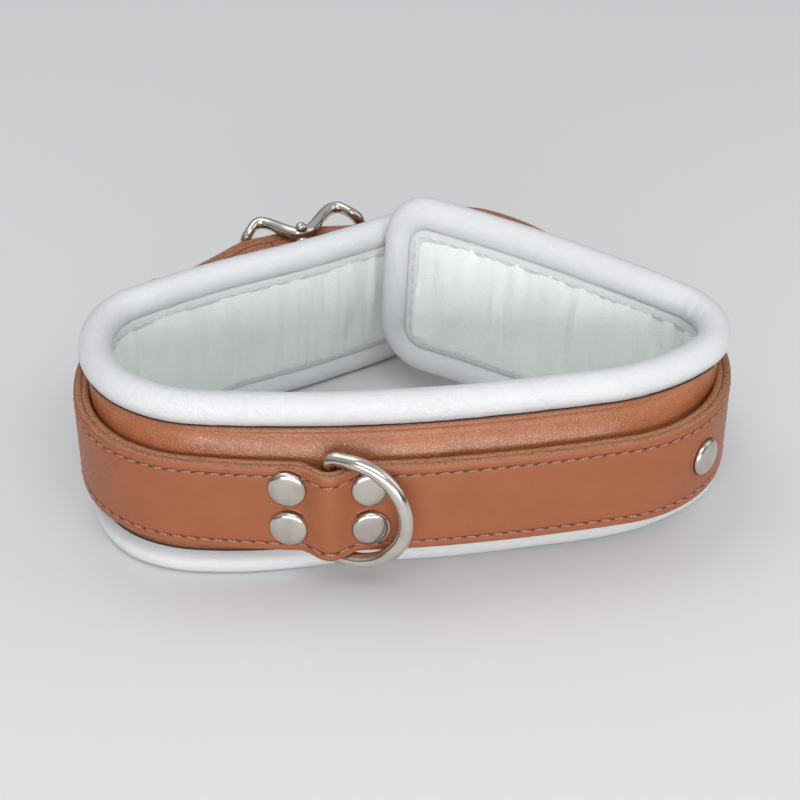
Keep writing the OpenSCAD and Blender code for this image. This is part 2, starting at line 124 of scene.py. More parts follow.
def swells(x: Array, y: Array, *layers: tuple[float, float, float, int]) -> Array:
    """Sums layers of noise, each given by its height, length across, length up and seed."""
    return sum(height * value_noise(x / across, y / up, seed)
               for height, across, up, seed in layers)


@dataclass(frozen=True)
class PlanLine:
    """A line in plan, made of runs that are each an arc with a length and a turn in degrees."""

    start: tuple[float, float]
    heading: float
    runs: tuple[tuple[float, float], ...]

    def knots(self) -> tuple[Array, Array, Array]:
        """Gives the place, heading in radians and travelled length at each run's start."""
        place = [np.array(self.start, float)]
        turn = [math.radians(self.heading)]
        for length, bend in self.runs:
            half = math.radians(bend) / 2
            chord = length * np.sinc(half / math.pi)
            way = turn[-1] + half
            place.append(place[-1] + chord * np.array([math.cos(way), math.sin(way)]))
            turn.append(turn[-1] + 2 * half)
        lengths = np.concatenate([[0.0], np.cumsum([run[0] for run in self.runs])])
        return np.array(place), np.array(turn), lengths

    @property
    def length(self) -> float:
        """The whole line's length."""
        return float(sum(run[0] for run in self.runs))

    def at(self, s: Array) -> tuple[Array, Array]:
        """Follows the line: from each run's start, a chord of its arc up to the distance s.

        Args:
            s: Distances along the line.

        Returns:
            The places in plan, shape (..., 2), and the headings in radians.
        """
        place, turn, travelled = self.knots()
        lengths = np.array([run[0] for run in self.runs])
        bends = np.radians([run[1] for run in self.runs])
        s = np.asarray(s, float)
        i = np.clip(np.searchsorted(travelled, s, side="right") - 1, 0, len(lengths) - 1)
        u = s - travelled[i]
        half = bends[i] * u / lengths[i] / 2
        chord = u * np.sinc(half / math.pi)
        way = turn[i] + half
        step = np.stack([np.cos(way), np.sin(way)], axis=-1) * chord[..., None]
        return place[i] + step, turn[i] + 2 * half

    def stations(self, counts: Sequence[int]) -> Array:
        """Gives distances along the line: each run's start and even steps up to the next run."""
        ends = self.knots()[2]
        return np.concatenate([np.linspace(a, b, count, endpoint=False)
                               for a, b, count in zip(ends, ends[1:], counts)])


def outward(heading: Array) -> Array:
    """Gives the unit direction to the right of a heading, which faces out of the collar."""
    return np.stack([np.sin(heading), -np.cos(heading)], axis=-1)


# ---- Meshes ----


@dataclass
class Surface:
    """Vertices, faces and per-vertex marks of a mesh that is being worked out."""

    points: Array
    quads: Array
    tris: Array = field(default_factory=lambda: np.zeros((0, 3), int))
    uv: Array | None = None
    marks: dict[str, Array] = field(default_factory=dict)

    def merged(self, other: "Surface") -> "Surface":
        """Gives one surface with both sets of faces, keeping the marks that both have."""
        shift = len(self.points)
        uv = None
        if self.uv is not None and other.uv is not None:
            uv = np.concatenate([self.uv, other.uv])
        marks = {k: np.concatenate([v, other.marks[k]]) for k, v in self.marks.items()
                 if k in other.marks}
        return Surface(np.concatenate([self.points, other.points]),
                       np.concatenate([self.quads, other.quads + shift]),
                       np.concatenate([self.tris, other.tris + shift]), uv, marks)


def grid_quads(rows: int, columns: int, close_rows: bool, close_columns: bool) -> Array:
    """Joins a grid of points into quads.

    Args:
        rows: Number of rows, the first index of a point.
        columns: Number of columns.
        close_rows: Whether the last row joins the first.
        close_columns: Whether the last column joins the first.

    Returns:
        The quads as point numbers, shape (count, 4).
    """
    i = np.arange(rows if close_rows else rows - 1)
    j = np.arange(columns if close_columns else columns - 1)
    i, j = (a.ravel() for a in np.meshgrid(i, j, indexing="ij"))
    k, m = (i + 1) % rows, (j + 1) % columns
    return np.stack([i * columns + j, i * columns + m, k * columns + m, k * columns + j], axis=1)


def swept(rings: Array, closed: bool = False, uv: Array | None = None,
          marks: dict[str, Array] | None = None) -> Surface:
    """Skins a stack of closed rings, with a fan to a middle point over each open end.

    Args:
        rings: Ring points, shape (rings, points, 3).
        closed: Whether the last ring joins the first.
        uv: Texture places, shape (rings, points, 2).
        marks: Marks by name, each of shape (rings, points).

    Returns:
        The skinned surface.
    """
    n, m = rings.shape[:2]
    points = rings.reshape(-1, 3)
    quads = grid_quads(n, m, closed, True)
    flat_uv = None if uv is None else uv.reshape(-1, 2)
    flat = {k: v.reshape(-1) for k, v in (marks or {}).items()}
    if closed:
        return Surface(points, quads, uv=flat_uv, marks=flat)
    ends = np.stack([rings[0].mean(axis=0), rings[-1].mean(axis=0)])
    j = np.arange(m)
    first = np.stack([np.full(m, n * m), (j + 1) % m, j], axis=1)
    last = np.stack([np.full(m, n * m + 1), (n - 1) * m + j, (n - 1) * m + (j + 1) % m], axis=1)
    if flat_uv is not None:
        flat_uv = np.concatenate([flat_uv, uv[[0, -1]].mean(axis=1)])
    flat = {k: np.concatenate([v, v.reshape(n, m)[[0, -1]].mean(axis=1)]) for k, v in flat.items()}
    return Surface(np.concatenate([points, ends]), quads, np.concatenate([first, last]), flat_uv,
                   flat)


def shell(outer: Array, inner: Array, uv: Array, marks: dict[str, Array]) -> Surface:
    """Joins two open grids of points into one closed wall.

    Each row becomes a ring that runs up the outer grid and back down the inner one.
    """
    rings = np.concatenate([outer, inner[:, ::-1]], axis=1)
    ring_uv = np.concatenate([uv, uv[:, ::-1]], axis=1)
    both = {k: np.concatenate([v, v[:, ::-1]], axis=1) for k, v in marks.items()}
    surface = swept(rings, uv=ring_uv, marks=both)
    m = outer.shape[1]
    n = len(rings)
    # The end rings are long slits, so they are closed by quads across and not by a fan
    j = np.arange(m - 1)
    back = 2 * m - 1 - j
    start = np.stack([j, back, back - 1, j + 1], axis=1)
    base = (n - 1) * 2 * m
    stop = np.stack([j, j + 1, back - 1, back], axis=1) + base
    keep = n * 2 * m
    return Surface(surface.points[:keep], np.concatenate([surface.quads, start, stop]),
                   uv=surface.uv[:keep], marks={k: v[:keep] for k, v in surface.marks.items()})


def make_object(name: str, surface: Surface) -> bpy.types.Object:
    """Puts a surface, in millimetres, into a new mesh object that sits at the origin.

    Args:
        name: The piece's name.
        surface: Its points, faces, texture places and marks.

    Returns:
        The new object, with faces turned outwards.
    """
    mesh = bpy.data.meshes.new(name)
    mesh.vertices.add(len(surface.points))
    mesh.vertices.foreach_set("co", (surface.points * MM).astype(np.float32).ravel())
    corners = np.concatenate([surface.quads.ravel(), surface.tris.ravel()]).astype(np.int32)
    quads, tris = len(surface.quads), len(surface.tris)
    starts = np.concatenate([np.arange(quads) * 4, quads * 4 + np.arange(tris) * 3])
    mesh.loops.add(len(corners))
    mesh.loops.foreach_set("vertex_index", corners)
    mesh.polygons.add(quads + tris)
    mesh.polygons.foreach_set("loop_start", starts.astype(np.int32))
    mesh.update(calc_edges=True)
    mesh.validate()
    if surface.uv is not None:
        layer = mesh.uv_layers.new(name="along_across")
        vertex = np.zeros(len(mesh.loops), np.int32)
        mesh.loops.foreach_get("vertex_index", vertex)
        layer.data.foreach_set("uv", surface.uv[vertex].astype(np.float32).ravel())
    for key, mark in surface.marks.items():
        attribute = mesh.attributes.new(key, "FLOAT", "POINT")
        attribute.data.foreach_set("value", mark.astype(np.float32))
    mesh.polygons.foreach_set("use_smooth", np.ones(quads + tris, bool))
    piece = bpy.data.objects.new(name, mesh)
    bpy.context.scene.collection.objects.link(piece)
    if signed_volume(mesh) < 0:
        mesh.flip_normals()
    return piece


def signed_volume(mesh: bpy.types.Mesh) -> float:
    """Gives the volume inside a closed mesh, which is negative if its faces look inwards."""
    mesh.calc_loop_triangles()
    points = np.zeros(len(mesh.vertices) * 3, np.float64)
    mesh.vertices.foreach_get("co", points)
    tri = np.zeros(len(mesh.loop_triangles) * 3, np.int32)
    mesh.loop_triangles.foreach_get("vertices", tri)
    a, b, c = points.reshape(-1, 3)[tri.reshape(-1, 3)].transpose(1, 0, 2)
    return float(np.einsum("ij,ij->i", a, np.cross(b, c)).sum() / 6.0)


def lathe_rings(profile: Sequence[tuple[float, float]], segments: int) -> Array:
    """Turns a profile of (radius, height) about the z axis into rings of points."""
    angle = np.linspace(0.0, 2 * math.pi, segments, endpoint=False)
    r, z = np.array(profile, float).T
    return np.stack([np.outer(r, np.cos(angle)), np.outer(r, np.sin(angle)),
                     np.repeat(z[:, None], segments, axis=1)], axis=-1)


def rounded_section(half_a: float, half_b: float, radius: float, per_corner: int = 3) -> Array:
    """Gives the outline of a rectangle with rounded corners about the origin.

    Each corner is an arc of a quarter turn, and the straight sides join the arcs.
    """
    out = []
    for quarter, (sa, sb) in enumerate([(1, 1), (-1, 1), (-1, -1), (1, -1)]):
        angle = math.pi / 2 * (quarter + np.linspace(0, 1, per_corner + 1))
        out.append(np.stack([sa * (half_a - radius) + radius * np.cos(angle),
                             sb * (half_b - radius) + radius * np.sin(angle)], axis=-1))
    return np.concatenate(out)


def capsule(length: float, width: float, height: float, rings: int = 6, sides: int = 6) -> Surface:
    """Makes one thread bit: an ellipse section whose size follows a flattened half circle along x.

    Args:
        length: Length along x.
        width: Full width along z.
        height: Full height along y.
        rings: Rings along the length.
        sides: Points round each ring.

    Returns:
        The closed surface.
    """
    t = np.linspace(-0.96, 0.96, rings)
    size = (1 - np.abs(t) ** 2.6) ** 0.5
    angle = np.linspace(0, 2 * math.pi, sides, endpoint=False)
    x = np.repeat(t[:, None] * length / 2, sides, axis=1)
    y = np.outer(size, np.cos(angle)) * height / 2
    z = np.outer(size, np.sin(angle)) * width / 2
    along = np.repeat(np.linspace(0, 1, rings)[:, None], sides, axis=1)
    around = np.repeat(np.linspace(0, 1, sides)[None, :], rings, axis=0)
    return swept(np.stack([x, y, z], axis=-1), uv=np.stack([along, around], axis=-1))


def repeated(unit: Surface, count: int, place: Callable[[Array, Array], Array]) -> Surface:
    """Copies a small surface many times.

    Args:
        unit: The surface to copy, about the origin.
        count: Number of copies.
        place: Turns copy numbers, shape (count, 1), and unit points into places.

    Returns:
        All copies as one surface.
    """
    index = np.arange(count)[:, None]
    points = place(index, unit.points[None, :, :].repeat(count, axis=0)).reshape(-1, 3)
    shift = (index * len(unit.points))[..., None]
    quads = (unit.quads[None] + shift).reshape(-1, 4)
    tris = (unit.tris[None] + shift).reshape(-1, 3)
    uv = None if unit.uv is None else np.tile(unit.uv, (count, 1))
    return Surface(points, quads, tris, uv)


# ---- Shader groups ----


@dataclass
class Graph:
    """A node tree with short ways to add and join nodes."""

    tree: bpy.types.NodeTree

    def add(self, kind: str, **settings: object) -> bpy.types.Node:
        """Adds a node of a kind and sets its plain settings."""
        node = self.tree.nodes.new(kind)
        for name, value in settings.items():
            setattr(node, name, value)
        return node

    def feed(self, node: bpy.types.Node, socket: str | int, value: object) -> None:
        """Joins an output to a node's input, or sets that input to a plain value."""
        target = node.inputs[socket]
        if isinstance(value, bpy.types.NodeSocket):
            self.tree.links.new(value, target)
        elif value is not None:
            target.default_value = value

    def math(self, operation: str, a: object, b: object = None, c: object = None,
             clamp: bool = False) -> bpy.types.NodeSocket:
        """Works out one sum on up to three values."""
        node = self.add("ShaderNodeMath", operation=operation, use_clamp=clamp)
        for i, value in enumerate((a, b, c)):
            self.feed(node, i, value)
        return node.outputs[0]

    def ramp(self, value: object, low: float, high: float, to_low: float = 0.0,
             to_high: float = 1.0) -> bpy.types.NodeSocket:
        """Turns a value between low and high smoothly into one between to_low and to_high."""
        node = self.add("ShaderNodeMapRange", interpolation_type="SMOOTHSTEP")
        for i, v in enumerate((value, low, high, to_low, to_high)):
            self.feed(node, i, v)
        return node.outputs[0]

    def mix(self, factor: object, a: object, b: object) -> bpy.types.NodeSocket:
        """Mixes two colours by a factor."""
        node = self.add("ShaderNodeMix", data_type="RGBA")
        for socket, value in ((0, factor), (6, a), (7, b)):
            self.feed(node, socket, value)
        return node.outputs[2]

    def place(self) -> bpy.types.NodeSocket:
        """Gives places in the piece's own frame, in metres."""
        return self.add("ShaderNodeTexCoord").outputs["Object"]

    def finish(self, shader: bpy.types.Node, **values: object) -> None:
        """Feeds a shader's inputs, each named with underscores for spaces."""
        for name, value in values.items():
            self.feed(shader, name.replace("_", " "), value)

    def noise(self, vector: object, scale: float, detail: float = 3.0,
              roughness: float = 0.5) -> bpy.types.NodeSocket:
        """Gives a cloudy value about 0.5, with a scale in cells for each unit."""
        node = self.add("ShaderNodeTexNoise")
        self.finish(node, Vector=vector, Scale=scale, Detail=detail, Roughness=roughness)
        return node.outputs[0]


def new_group(name: str, inputs: Sequence[tuple[str, str, object]],
              outputs: Sequence[tuple[str, str]]) -> tuple[Graph, bpy.types.Node, bpy.types.Node]:
    """Starts a shader node group with named inputs and outputs.

    Args:
        name: The group's name.
        inputs: Name, socket kind and starting value of each input.
        outputs: Name and socket kind of each output.

    Returns:
        The group's graph, its input node and its output node.
    """
    tree = bpy.data.node_groups.new(name, "ShaderNodeTree")
    for label, kind, value in inputs:
        socket = tree.interface.new_socket(label, in_out="INPUT", socket_type=kind)
        if value is not None:
            socket.default_value = value
    for label, kind in outputs:
        tree.interface.new_socket(label, in_out="OUTPUT", socket_type=kind)
    graph = Graph(tree)
    return graph, graph.add("NodeGroupInput"), graph.add("NodeGroupOutput")


def grain_group() -> bpy.types.NodeTree:
    """Builds leather grain: rounded pebbles parted by fine creases, over soft swells.

    The height is the distance to each pebble's border, rounded off, plus cloudy noise.
    """
    graph, given, out = new_group(
        "leather_grain",
        [("Vector", "NodeSocketVector", None), ("Pebbles", "NodeSocketFloat", 900.0),
         ("Swell", "NodeSocketFloat", 0.3)],
        [("Height", "NodeSocketFloat"), ("Crease", "NodeSocketFloat")])
    bend = graph.add("ShaderNodeTexNoise")
    graph.finish(bend, Vector=given.outputs["Vector"], Scale=420.0)
    push = graph.add("ShaderNodeVectorMath", operation="MULTIPLY_ADD")
    graph.feed(push, 0, bend.outputs["Color"])
    graph.feed(push, 1, (0.0016, 0.0016, 0.0016))
    graph.feed(push, 2, given.outputs["Vector"])
    cells = graph.add("ShaderNodeTexVoronoi", feature="DISTANCE_TO_EDGE")
    graph.finish(cells, Vector=push.outputs[0], Scale=given.outputs["Pebbles"])
    pebble = graph.ramp(cells.outputs["Distance"], 0.0, 0.34)
    size = graph.math("MULTIPLY", given.outputs["Pebbles"], 0.31)
    swell = graph.noise(given.outputs["Vector"], size)
    lift = graph.math("MULTIPLY", swell, given.outputs["Swell"])
    graph.finish(out, Height=graph.math("ADD", pebble, lift),
                 Crease=graph.ramp(cells.outputs["Distance"], 0.0, 0.12, 1.0, 0.0))
    return graph.tree


def fibre_group() -> bpy.types.NodeTree:
    """Builds the cut edge of leather: short dark specks and a slight lay along the strap."""
    graph, given, out = new_group(
        "cut_edge_fibres", [("Vector", "NodeSocketVector", None)],
        [("Specks", "NodeSocketFloat"), ("Height", "NodeSocketFloat")])
    fine = graph.noise(given.outputs["Vector"], 1500.0, 4.0, 0.75)
    coarse = graph.noise(given.outputs["Vector"], 620.0, 2.0, 0.5)
    graph.feed(out, "Specks", graph.ramp(fine, 0.5, 0.62))
    graph.feed(out, "Height", graph.math("ADD", fine, coarse))
    return graph.tree


def twist_group() -> bpy.types.NodeTree:
    """Builds the plies of sewing thread: slanted bands across each stitch's own map."""
    graph, given, out = new_group(
        "thread_twist", [("Map", "NodeSocketVector", None), ("Plies", "NodeSocketFloat", 5.0)],
        [("Height", "NodeSocketFloat")])
    parts = graph.add("ShaderNodeSeparateXYZ")
    graph.feed(parts, 0, given.outputs["Map"])
    phase = graph.math("MULTIPLY_ADD", parts.outputs[0], given.outputs["Plies"], parts.outputs[1])
    wave = graph.math("SINE", graph.math("MULTIPLY", phase, 2 * math.pi))
    graph.feed(out, "Height", graph.math("MULTIPLY_ADD", wave, 0.5, 0.5))
    return graph.tree


def wear_group() -> bpy.types.NodeTree:
    """Builds the slight wear of plated metal: fine scuffs and broad smudges."""
    graph, given, out = new_group(
        "plated_wear", [("Vector", "NodeSocketVector", None)],
        [("Scuffs", "NodeSocketFloat"), ("Smudges", "NodeSocketFloat")])
    stretch = graph.add("ShaderNodeVectorMath", operation="MULTIPLY")
    graph.feed(stretch, 0, given.outputs["Vector"])
    graph.feed(stretch, 1, (1.0, 1.0, 4.0))
    graph.feed(out, "Scuffs", graph.noise(stretch.outputs[0], 1500.0, 5.0, 0.7))
    graph.feed(out, "Smudges", graph.noise(given.outputs["Vector"], 160.0, 2.0, 0.5))
    return graph.tree


@dataclass
class Groups:
    """The shader groups, each built once."""

    grain: bpy.types.NodeTree = field(default_factory=grain_group)
    fibres: bpy.types.NodeTree = field(default_factory=fibre_group)
    twist: bpy.types.NodeTree = field(default_factory=twist_group)
    wear: bpy.types.NodeTree = field(default_factory=wear_group)


# ---- Finishes ----

Colour = tuple[float, float, float, float]


def start_material(name: str) -> tuple[bpy.types.Material, Graph, bpy.types.Node]:
    """Makes a node material and gives it with its graph and its Principled shader."""
    material = bpy.data.materials.new(name)
    material.use_nodes = True
    graph = Graph(material.node_tree)
    graph.tree.nodes.clear()
    shader = graph.add("ShaderNodeBsdfPrincipled")
    output = graph.add("ShaderNodeOutputMaterial")
    graph.tree.links.new(shader.outputs[0], output.inputs[0])
    return material, graph, shader


def use_group(graph: Graph, tree: bpy.types.NodeTree, **values: object) -> bpy.types.Node:
    """Places a shader group in a material with its own values."""
    node = graph.add("ShaderNodeGroup", node_tree=tree)
    graph.finish(node, **values)
    return node


def mark_value(graph: Graph, name: str) -> bpy.types.NodeSocket:
    """Reads one of the mesh's own marks."""
    return graph.add("ShaderNodeAttribute", attribute_name=name).outputs["Fac"]


def bumped(graph: Graph, height: object, distance: float) -> bpy.types.NodeSocket:
    """Turns a height into a normal, with the distance in metres."""
    node = graph.add("ShaderNodeBump")
    graph.finish(node, Strength=1.0, Distance=distance, Height=height)
    return node.outputs[0]


@dataclass(frozen=True)
class CoverLeather:
    """Glossy pebbled leather, with painted shade in its grain's creases and a painted near-black
    shadow where its rim tucks under the roll.
    """

    colour: Colour = (0.425, 0.139, 0.049, 1.0)
    worn: Colour = (0.365, 0.113, 0.038, 1.0)
    # Painted shade for the grain's creases
    crease_shade: Colour = (0.215, 0.064, 0.023, 1.0)
    # Near-black painted shadow for the gap where the rim tucks under the roll
    tuck_shadow: Colour = (0.012, 0.006, 0.004, 1.0)
    pebbles: float = 1500.0
    depth: float = 0.00007

    def build(self, groups: Groups) -> bpy.types.Material:
        """Builds the material; the rings that tuck under the roll get a painted near-black shadow
        and are dulled.
        """
        material, graph, shader = start_material("glossy_pebbled_leather")
        place = graph.place()
        grain = use_group(graph, groups.grain, Vector=place, Pebbles=self.pebbles, Swell=1.1)
        cloud = graph.ramp(graph.noise(place, 95.0, 3.0), 0.36, 0.66)
        body = graph.mix(cloud, self.worn, self.colour)
        # Paints shade into the grain's creases
        creased = graph.mix(graph.math("MULTIPLY", grain.outputs["Crease"], 0.35), body, self.crease_shade)
        # Paints the shadow of the gap under the roll onto the tucked-in rings
        tuck_shadow = graph.ramp(mark_value(graph, "tuck_shadow"), 0.55, 0.9)
        gloss = graph.ramp(graph.noise(place, 700.0, 2.0), 0.3, 0.7, 0.2, 0.34)
        rough = graph.math("MAXIMUM", gloss, graph.math("MULTIPLY", tuck_shadow, 0.8))
        graph.finish(shader, Base_Color=graph.mix(tuck_shadow, creased, self.tuck_shadow), Roughness=rough,
                     Normal=bumped(graph, grain.outputs["Height"], self.depth),
                     Specular_IOR_Level=0.6, Coat_Weight=0.35, Coat_Roughness=0.24)
        return material


@dataclass(frozen=True)
class StrapLeather:
    """Smooth strap leather: a satin face, tan cut edges, and painted shade in the seam grooves and
    in the holes along the seams.
    """

    face: Colour = (0.330, 0.096, 0.034, 1.0)
    face_dark: Colour = (0.305, 0.087, 0.030, 1.0)
    edge: Colour = (0.42, 0.185, 0.092, 1.0)
    # Dark fibre specks on the cut edges, also used as the painted shade in grooves, needle holes
    # and dimples
    speck_and_groove_shade: Colour = (0.075, 0.03, 0.015, 1.0)

    def build(self, groups: Groups) -> bpy.types.Material:
        """Builds the material; the edge mark shows cut fibres, the groove mark paints shade into
        the face.
        """
        material, graph, shader = start_material("satin_strap_leather")
        place = graph.place()
        grain = use_group(graph, groups.grain, Vector=place, Pebbles=2300.0, Swell=1.4)
        fibres = use_group(graph, groups.fibres, Vector=place)
        edge = mark_value(graph, "edge")
        cloud = graph.ramp(graph.noise(place, 120.0, 4.0, 0.6), 0.34, 0.7)
        face = graph.mix(cloud, self.face_dark, self.face)
        # Paints shade into the grain's creases
        crease = graph.math("MULTIPLY", grain.outputs["Crease"], 0.22)
        face = graph.mix(crease, face, self.face_dark)
        # Paints shade into the seam grooves, the needle holes and the dimples round the rivets
        groove = graph.math("MULTIPLY", mark_value(graph, "groove"), 0.55)
        face = graph.mix(groove, face, self.speck_and_groove_shade)
        specks = graph.math("MULTIPLY", fibres.outputs["Specks"], 0.75)
        cut_face = graph.mix(specks, self.edge, self.speck_and_groove_shade)
        satin = graph.ramp(graph.noise(place, 900.0, 3.0), 0.3, 0.7, 0.36, 0.5)
        rough = graph.math("MAXIMUM", satin, graph.math("MULTIPLY", edge, 0.85))
        height = graph.add("ShaderNodeMix", data_type="FLOAT")
        graph.feed(height, 0, edge)
        graph.feed(height, 2, graph.math("MULTIPLY", grain.outputs["Height"], 0.2))
        graph.feed(height, 3, graph.math("MULTIPLY", fibres.outputs["Height"], 1.6))
        graph.finish(shader, Base_Color=graph.mix(edge, face, cut_face), Roughness=rough,
                     Normal=bumped(graph, height.outputs[0], 0.0001))
        return material


@dataclass(frozen=True)
class PaleLeather:
    """Pale smooth leather with a fine grain, used for the roll and for the lining."""

    name: str
    colour: Colour
    shade: Colour
    pebbles: float
    depth: float
    roughness: float

    def build(self, groups: Groups) -> bpy.types.Material:
        """Builds the material; its grain's creases and the seams marked on the mesh are painted
        darker towards its shade.
        """
        material, graph, shader = start_material(self.name)
        place = graph.place()
        grain = use_group(graph, groups.grain, Vector=place, Pebbles=self.pebbles, Swell=0.8)
        # Painted shade in the grain's creases
        seam_and_crease_shade = graph.math("MULTIPLY", grain.outputs["Crease"], 0.3)
        cloud = graph.ramp(graph.noise(place, 60.0, 4.0, 0.6), 0.4, 0.75, 0.0, 0.3)
        # Adds the painted shade along the seams, as marked on the mesh
        tone = graph.math("ADD", graph.math("MAXIMUM", seam_and_crease_shade, cloud), mark_value(graph, "seam_and_crease_shade"),
                          clamp=True)
        rough = graph.ramp(graph.noise(place, 500.0, 2.0), 0.3, 0.7, self.roughness - 0.06,
                           self.roughness + 0.08)
        graph.finish(shader, Base_Color=graph.mix(tone, self.colour, self.shade), Roughness=rough,
                     Normal=bumped(graph, grain.outputs["Height"], self.depth))
        return material


@dataclass(frozen=True)
class Thread:
    """Twisted sewing thread."""

    name: str
    colour: Colour
    shade: Colour
    plies: float = 3.0

    def build(self, groups: Groups) -> bpy.types.Material:
        """Builds the material from each stitch's own map."""
        material, graph, shader = start_material(self.name)
        flat = graph.add("ShaderNodeUVMap", uv_map="along_across").outputs[0]
        twist = use_group(graph, groups.twist, Map=flat, Plies=self.plies)
        graph.finish(shader, Base_Color=graph.mix(twist.outputs[0], self.shade, self.colour),
                     Roughness=0.55, Normal=bumped(graph, twist.outputs[0], 0.00012),
                     Sheen_Weight=0.3)
        return material


@dataclass(frozen=True)
class Plated:
    """Nickel-plated metal, polished or satin."""

    name: str
    colour: Colour
    low: float
    high: float

    def build(self, groups: Groups) -> bpy.types.Material:
        """Builds the material; scuffs roughen it and smudges tint it slightly."""
        material, graph, shader = start_material(self.name)
        place = graph.place()
        wear = use_group(graph, groups.wear, Vector=place)
        dull = tuple(0.8 * c for c in self.colour[:3]) + (1.0,)
        smudge = graph.ramp(wear.outputs["Smudges"], 0.4, 0.7)
        rough = graph.ramp(wear.outputs["Scuffs"], 0.42, 0.75, self.low, self.high)
        graph.finish(shader, Base_Color=graph.mix(smudge, self.colour, dull), Metallic=1.0,
                     Roughness=rough, Normal=bumped(graph, wear.outputs["Scuffs"], 0.00001))
        return material


@dataclass(frozen=True)
class StudioFloor:
    """The plain pale surface that the collar stands on."""

    colour: Colour = (0.735, 0.737, 0.742, 1.0)

    def build(self) -> bpy.types.Material:
        """Builds a plain matt material with a trace of unevenness."""
        material, graph, shader = start_material("studio_floor")
        place = graph.place()
        shade = tuple(0.985 * c for c in self.colour[:3]) + (1.0,)
        unevenness = graph.noise(place, 3.0)
        graph.finish(shader, Base_Color=graph.mix(unevenness, self.colour, shade), Roughness=0.7)
        return material


class Finishes:
    """All of the collar's materials, by slot."""

    def __init__(self) -> None:
        """Builds each finish once."""
        groups = Groups()
        self.by_slot: dict[Slot, bpy.types.Material] = {
            Slot.COVER: CoverLeather().build(groups),
            Slot.STRAP: StrapLeather().build(groups),
            Slot.BINDING: PaleLeather(
                "pale_binding_leather", colour=(0.735, 0.745, 0.755, 1.0),
                shade=(0.6, 0.6, 0.62, 1.0), pebbles=2100.0, depth=0.00006,
                roughness=0.42).build(groups),
            Slot.LINING: PaleLeather(
                "pale_lining_leather", colour=(0.90, 0.935, 0.912, 1.0),
                shade=(0.76, 0.81, 0.785, 1.0), pebbles=1500.0, depth=0.00008,
                roughness=0.5).build(groups),
            Slot.PALE_THREAD: Thread(
                "pale_thread", colour=(0.82, 0.82, 0.82, 1.0),
                shade=(0.7, 0.7, 0.71, 1.0)).build(groups),
            Slot.STRAP_THREAD: Thread(
                "rose_thread", colour=(0.55, 0.2, 0.1, 1.0),
                shade=(0.3, 0.09, 0.045, 1.0)).build(groups),
            Slot.POLISHED: Plated(
                "polished_nickel", colour=(0.68, 0.64, 0.58, 1.0), low=0.1, high=0.2).build(groups),
            Slot.SATIN: Plated(
                "satin_nickel", colour=(0.60, 0.56, 0.50, 1.0), low=0.18, high=0.3).build(groups),
        }
        self.floor = StudioFloor().build()

    def add(self, name: str, surface: Surface, slot: Slot, *nodes: str, body: Body = Body.COLLAR,
            cutter: Surface | None = None) -> bpy.types.Object:
        """Makes a piece and gives it its material, its body and the CAD nodes it stands for.

        Args:
            name: The piece's name.
            surface: Its shape.
            slot: The record's slot that its finish belongs to.
            nodes: CAD nodes that it replaces.
            body: The body that it rides on.
            cutter: A shape that is cut out of it.

        Returns:
            The finished piece.
        """
        piece = make_object(name, surface)
        if cutter is not None:
            cut(piece, cutter)
        piece.data.materials.clear()
        piece.data.materials.append(self.by_slot[slot])
        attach(piece, body.value)
        if nodes:
            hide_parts(*nodes)
        LOG.info("%s: %d faces on %s", piece.name, len(piece.data.polygons), body.value)
        return piece


# ---- Neck pad ----


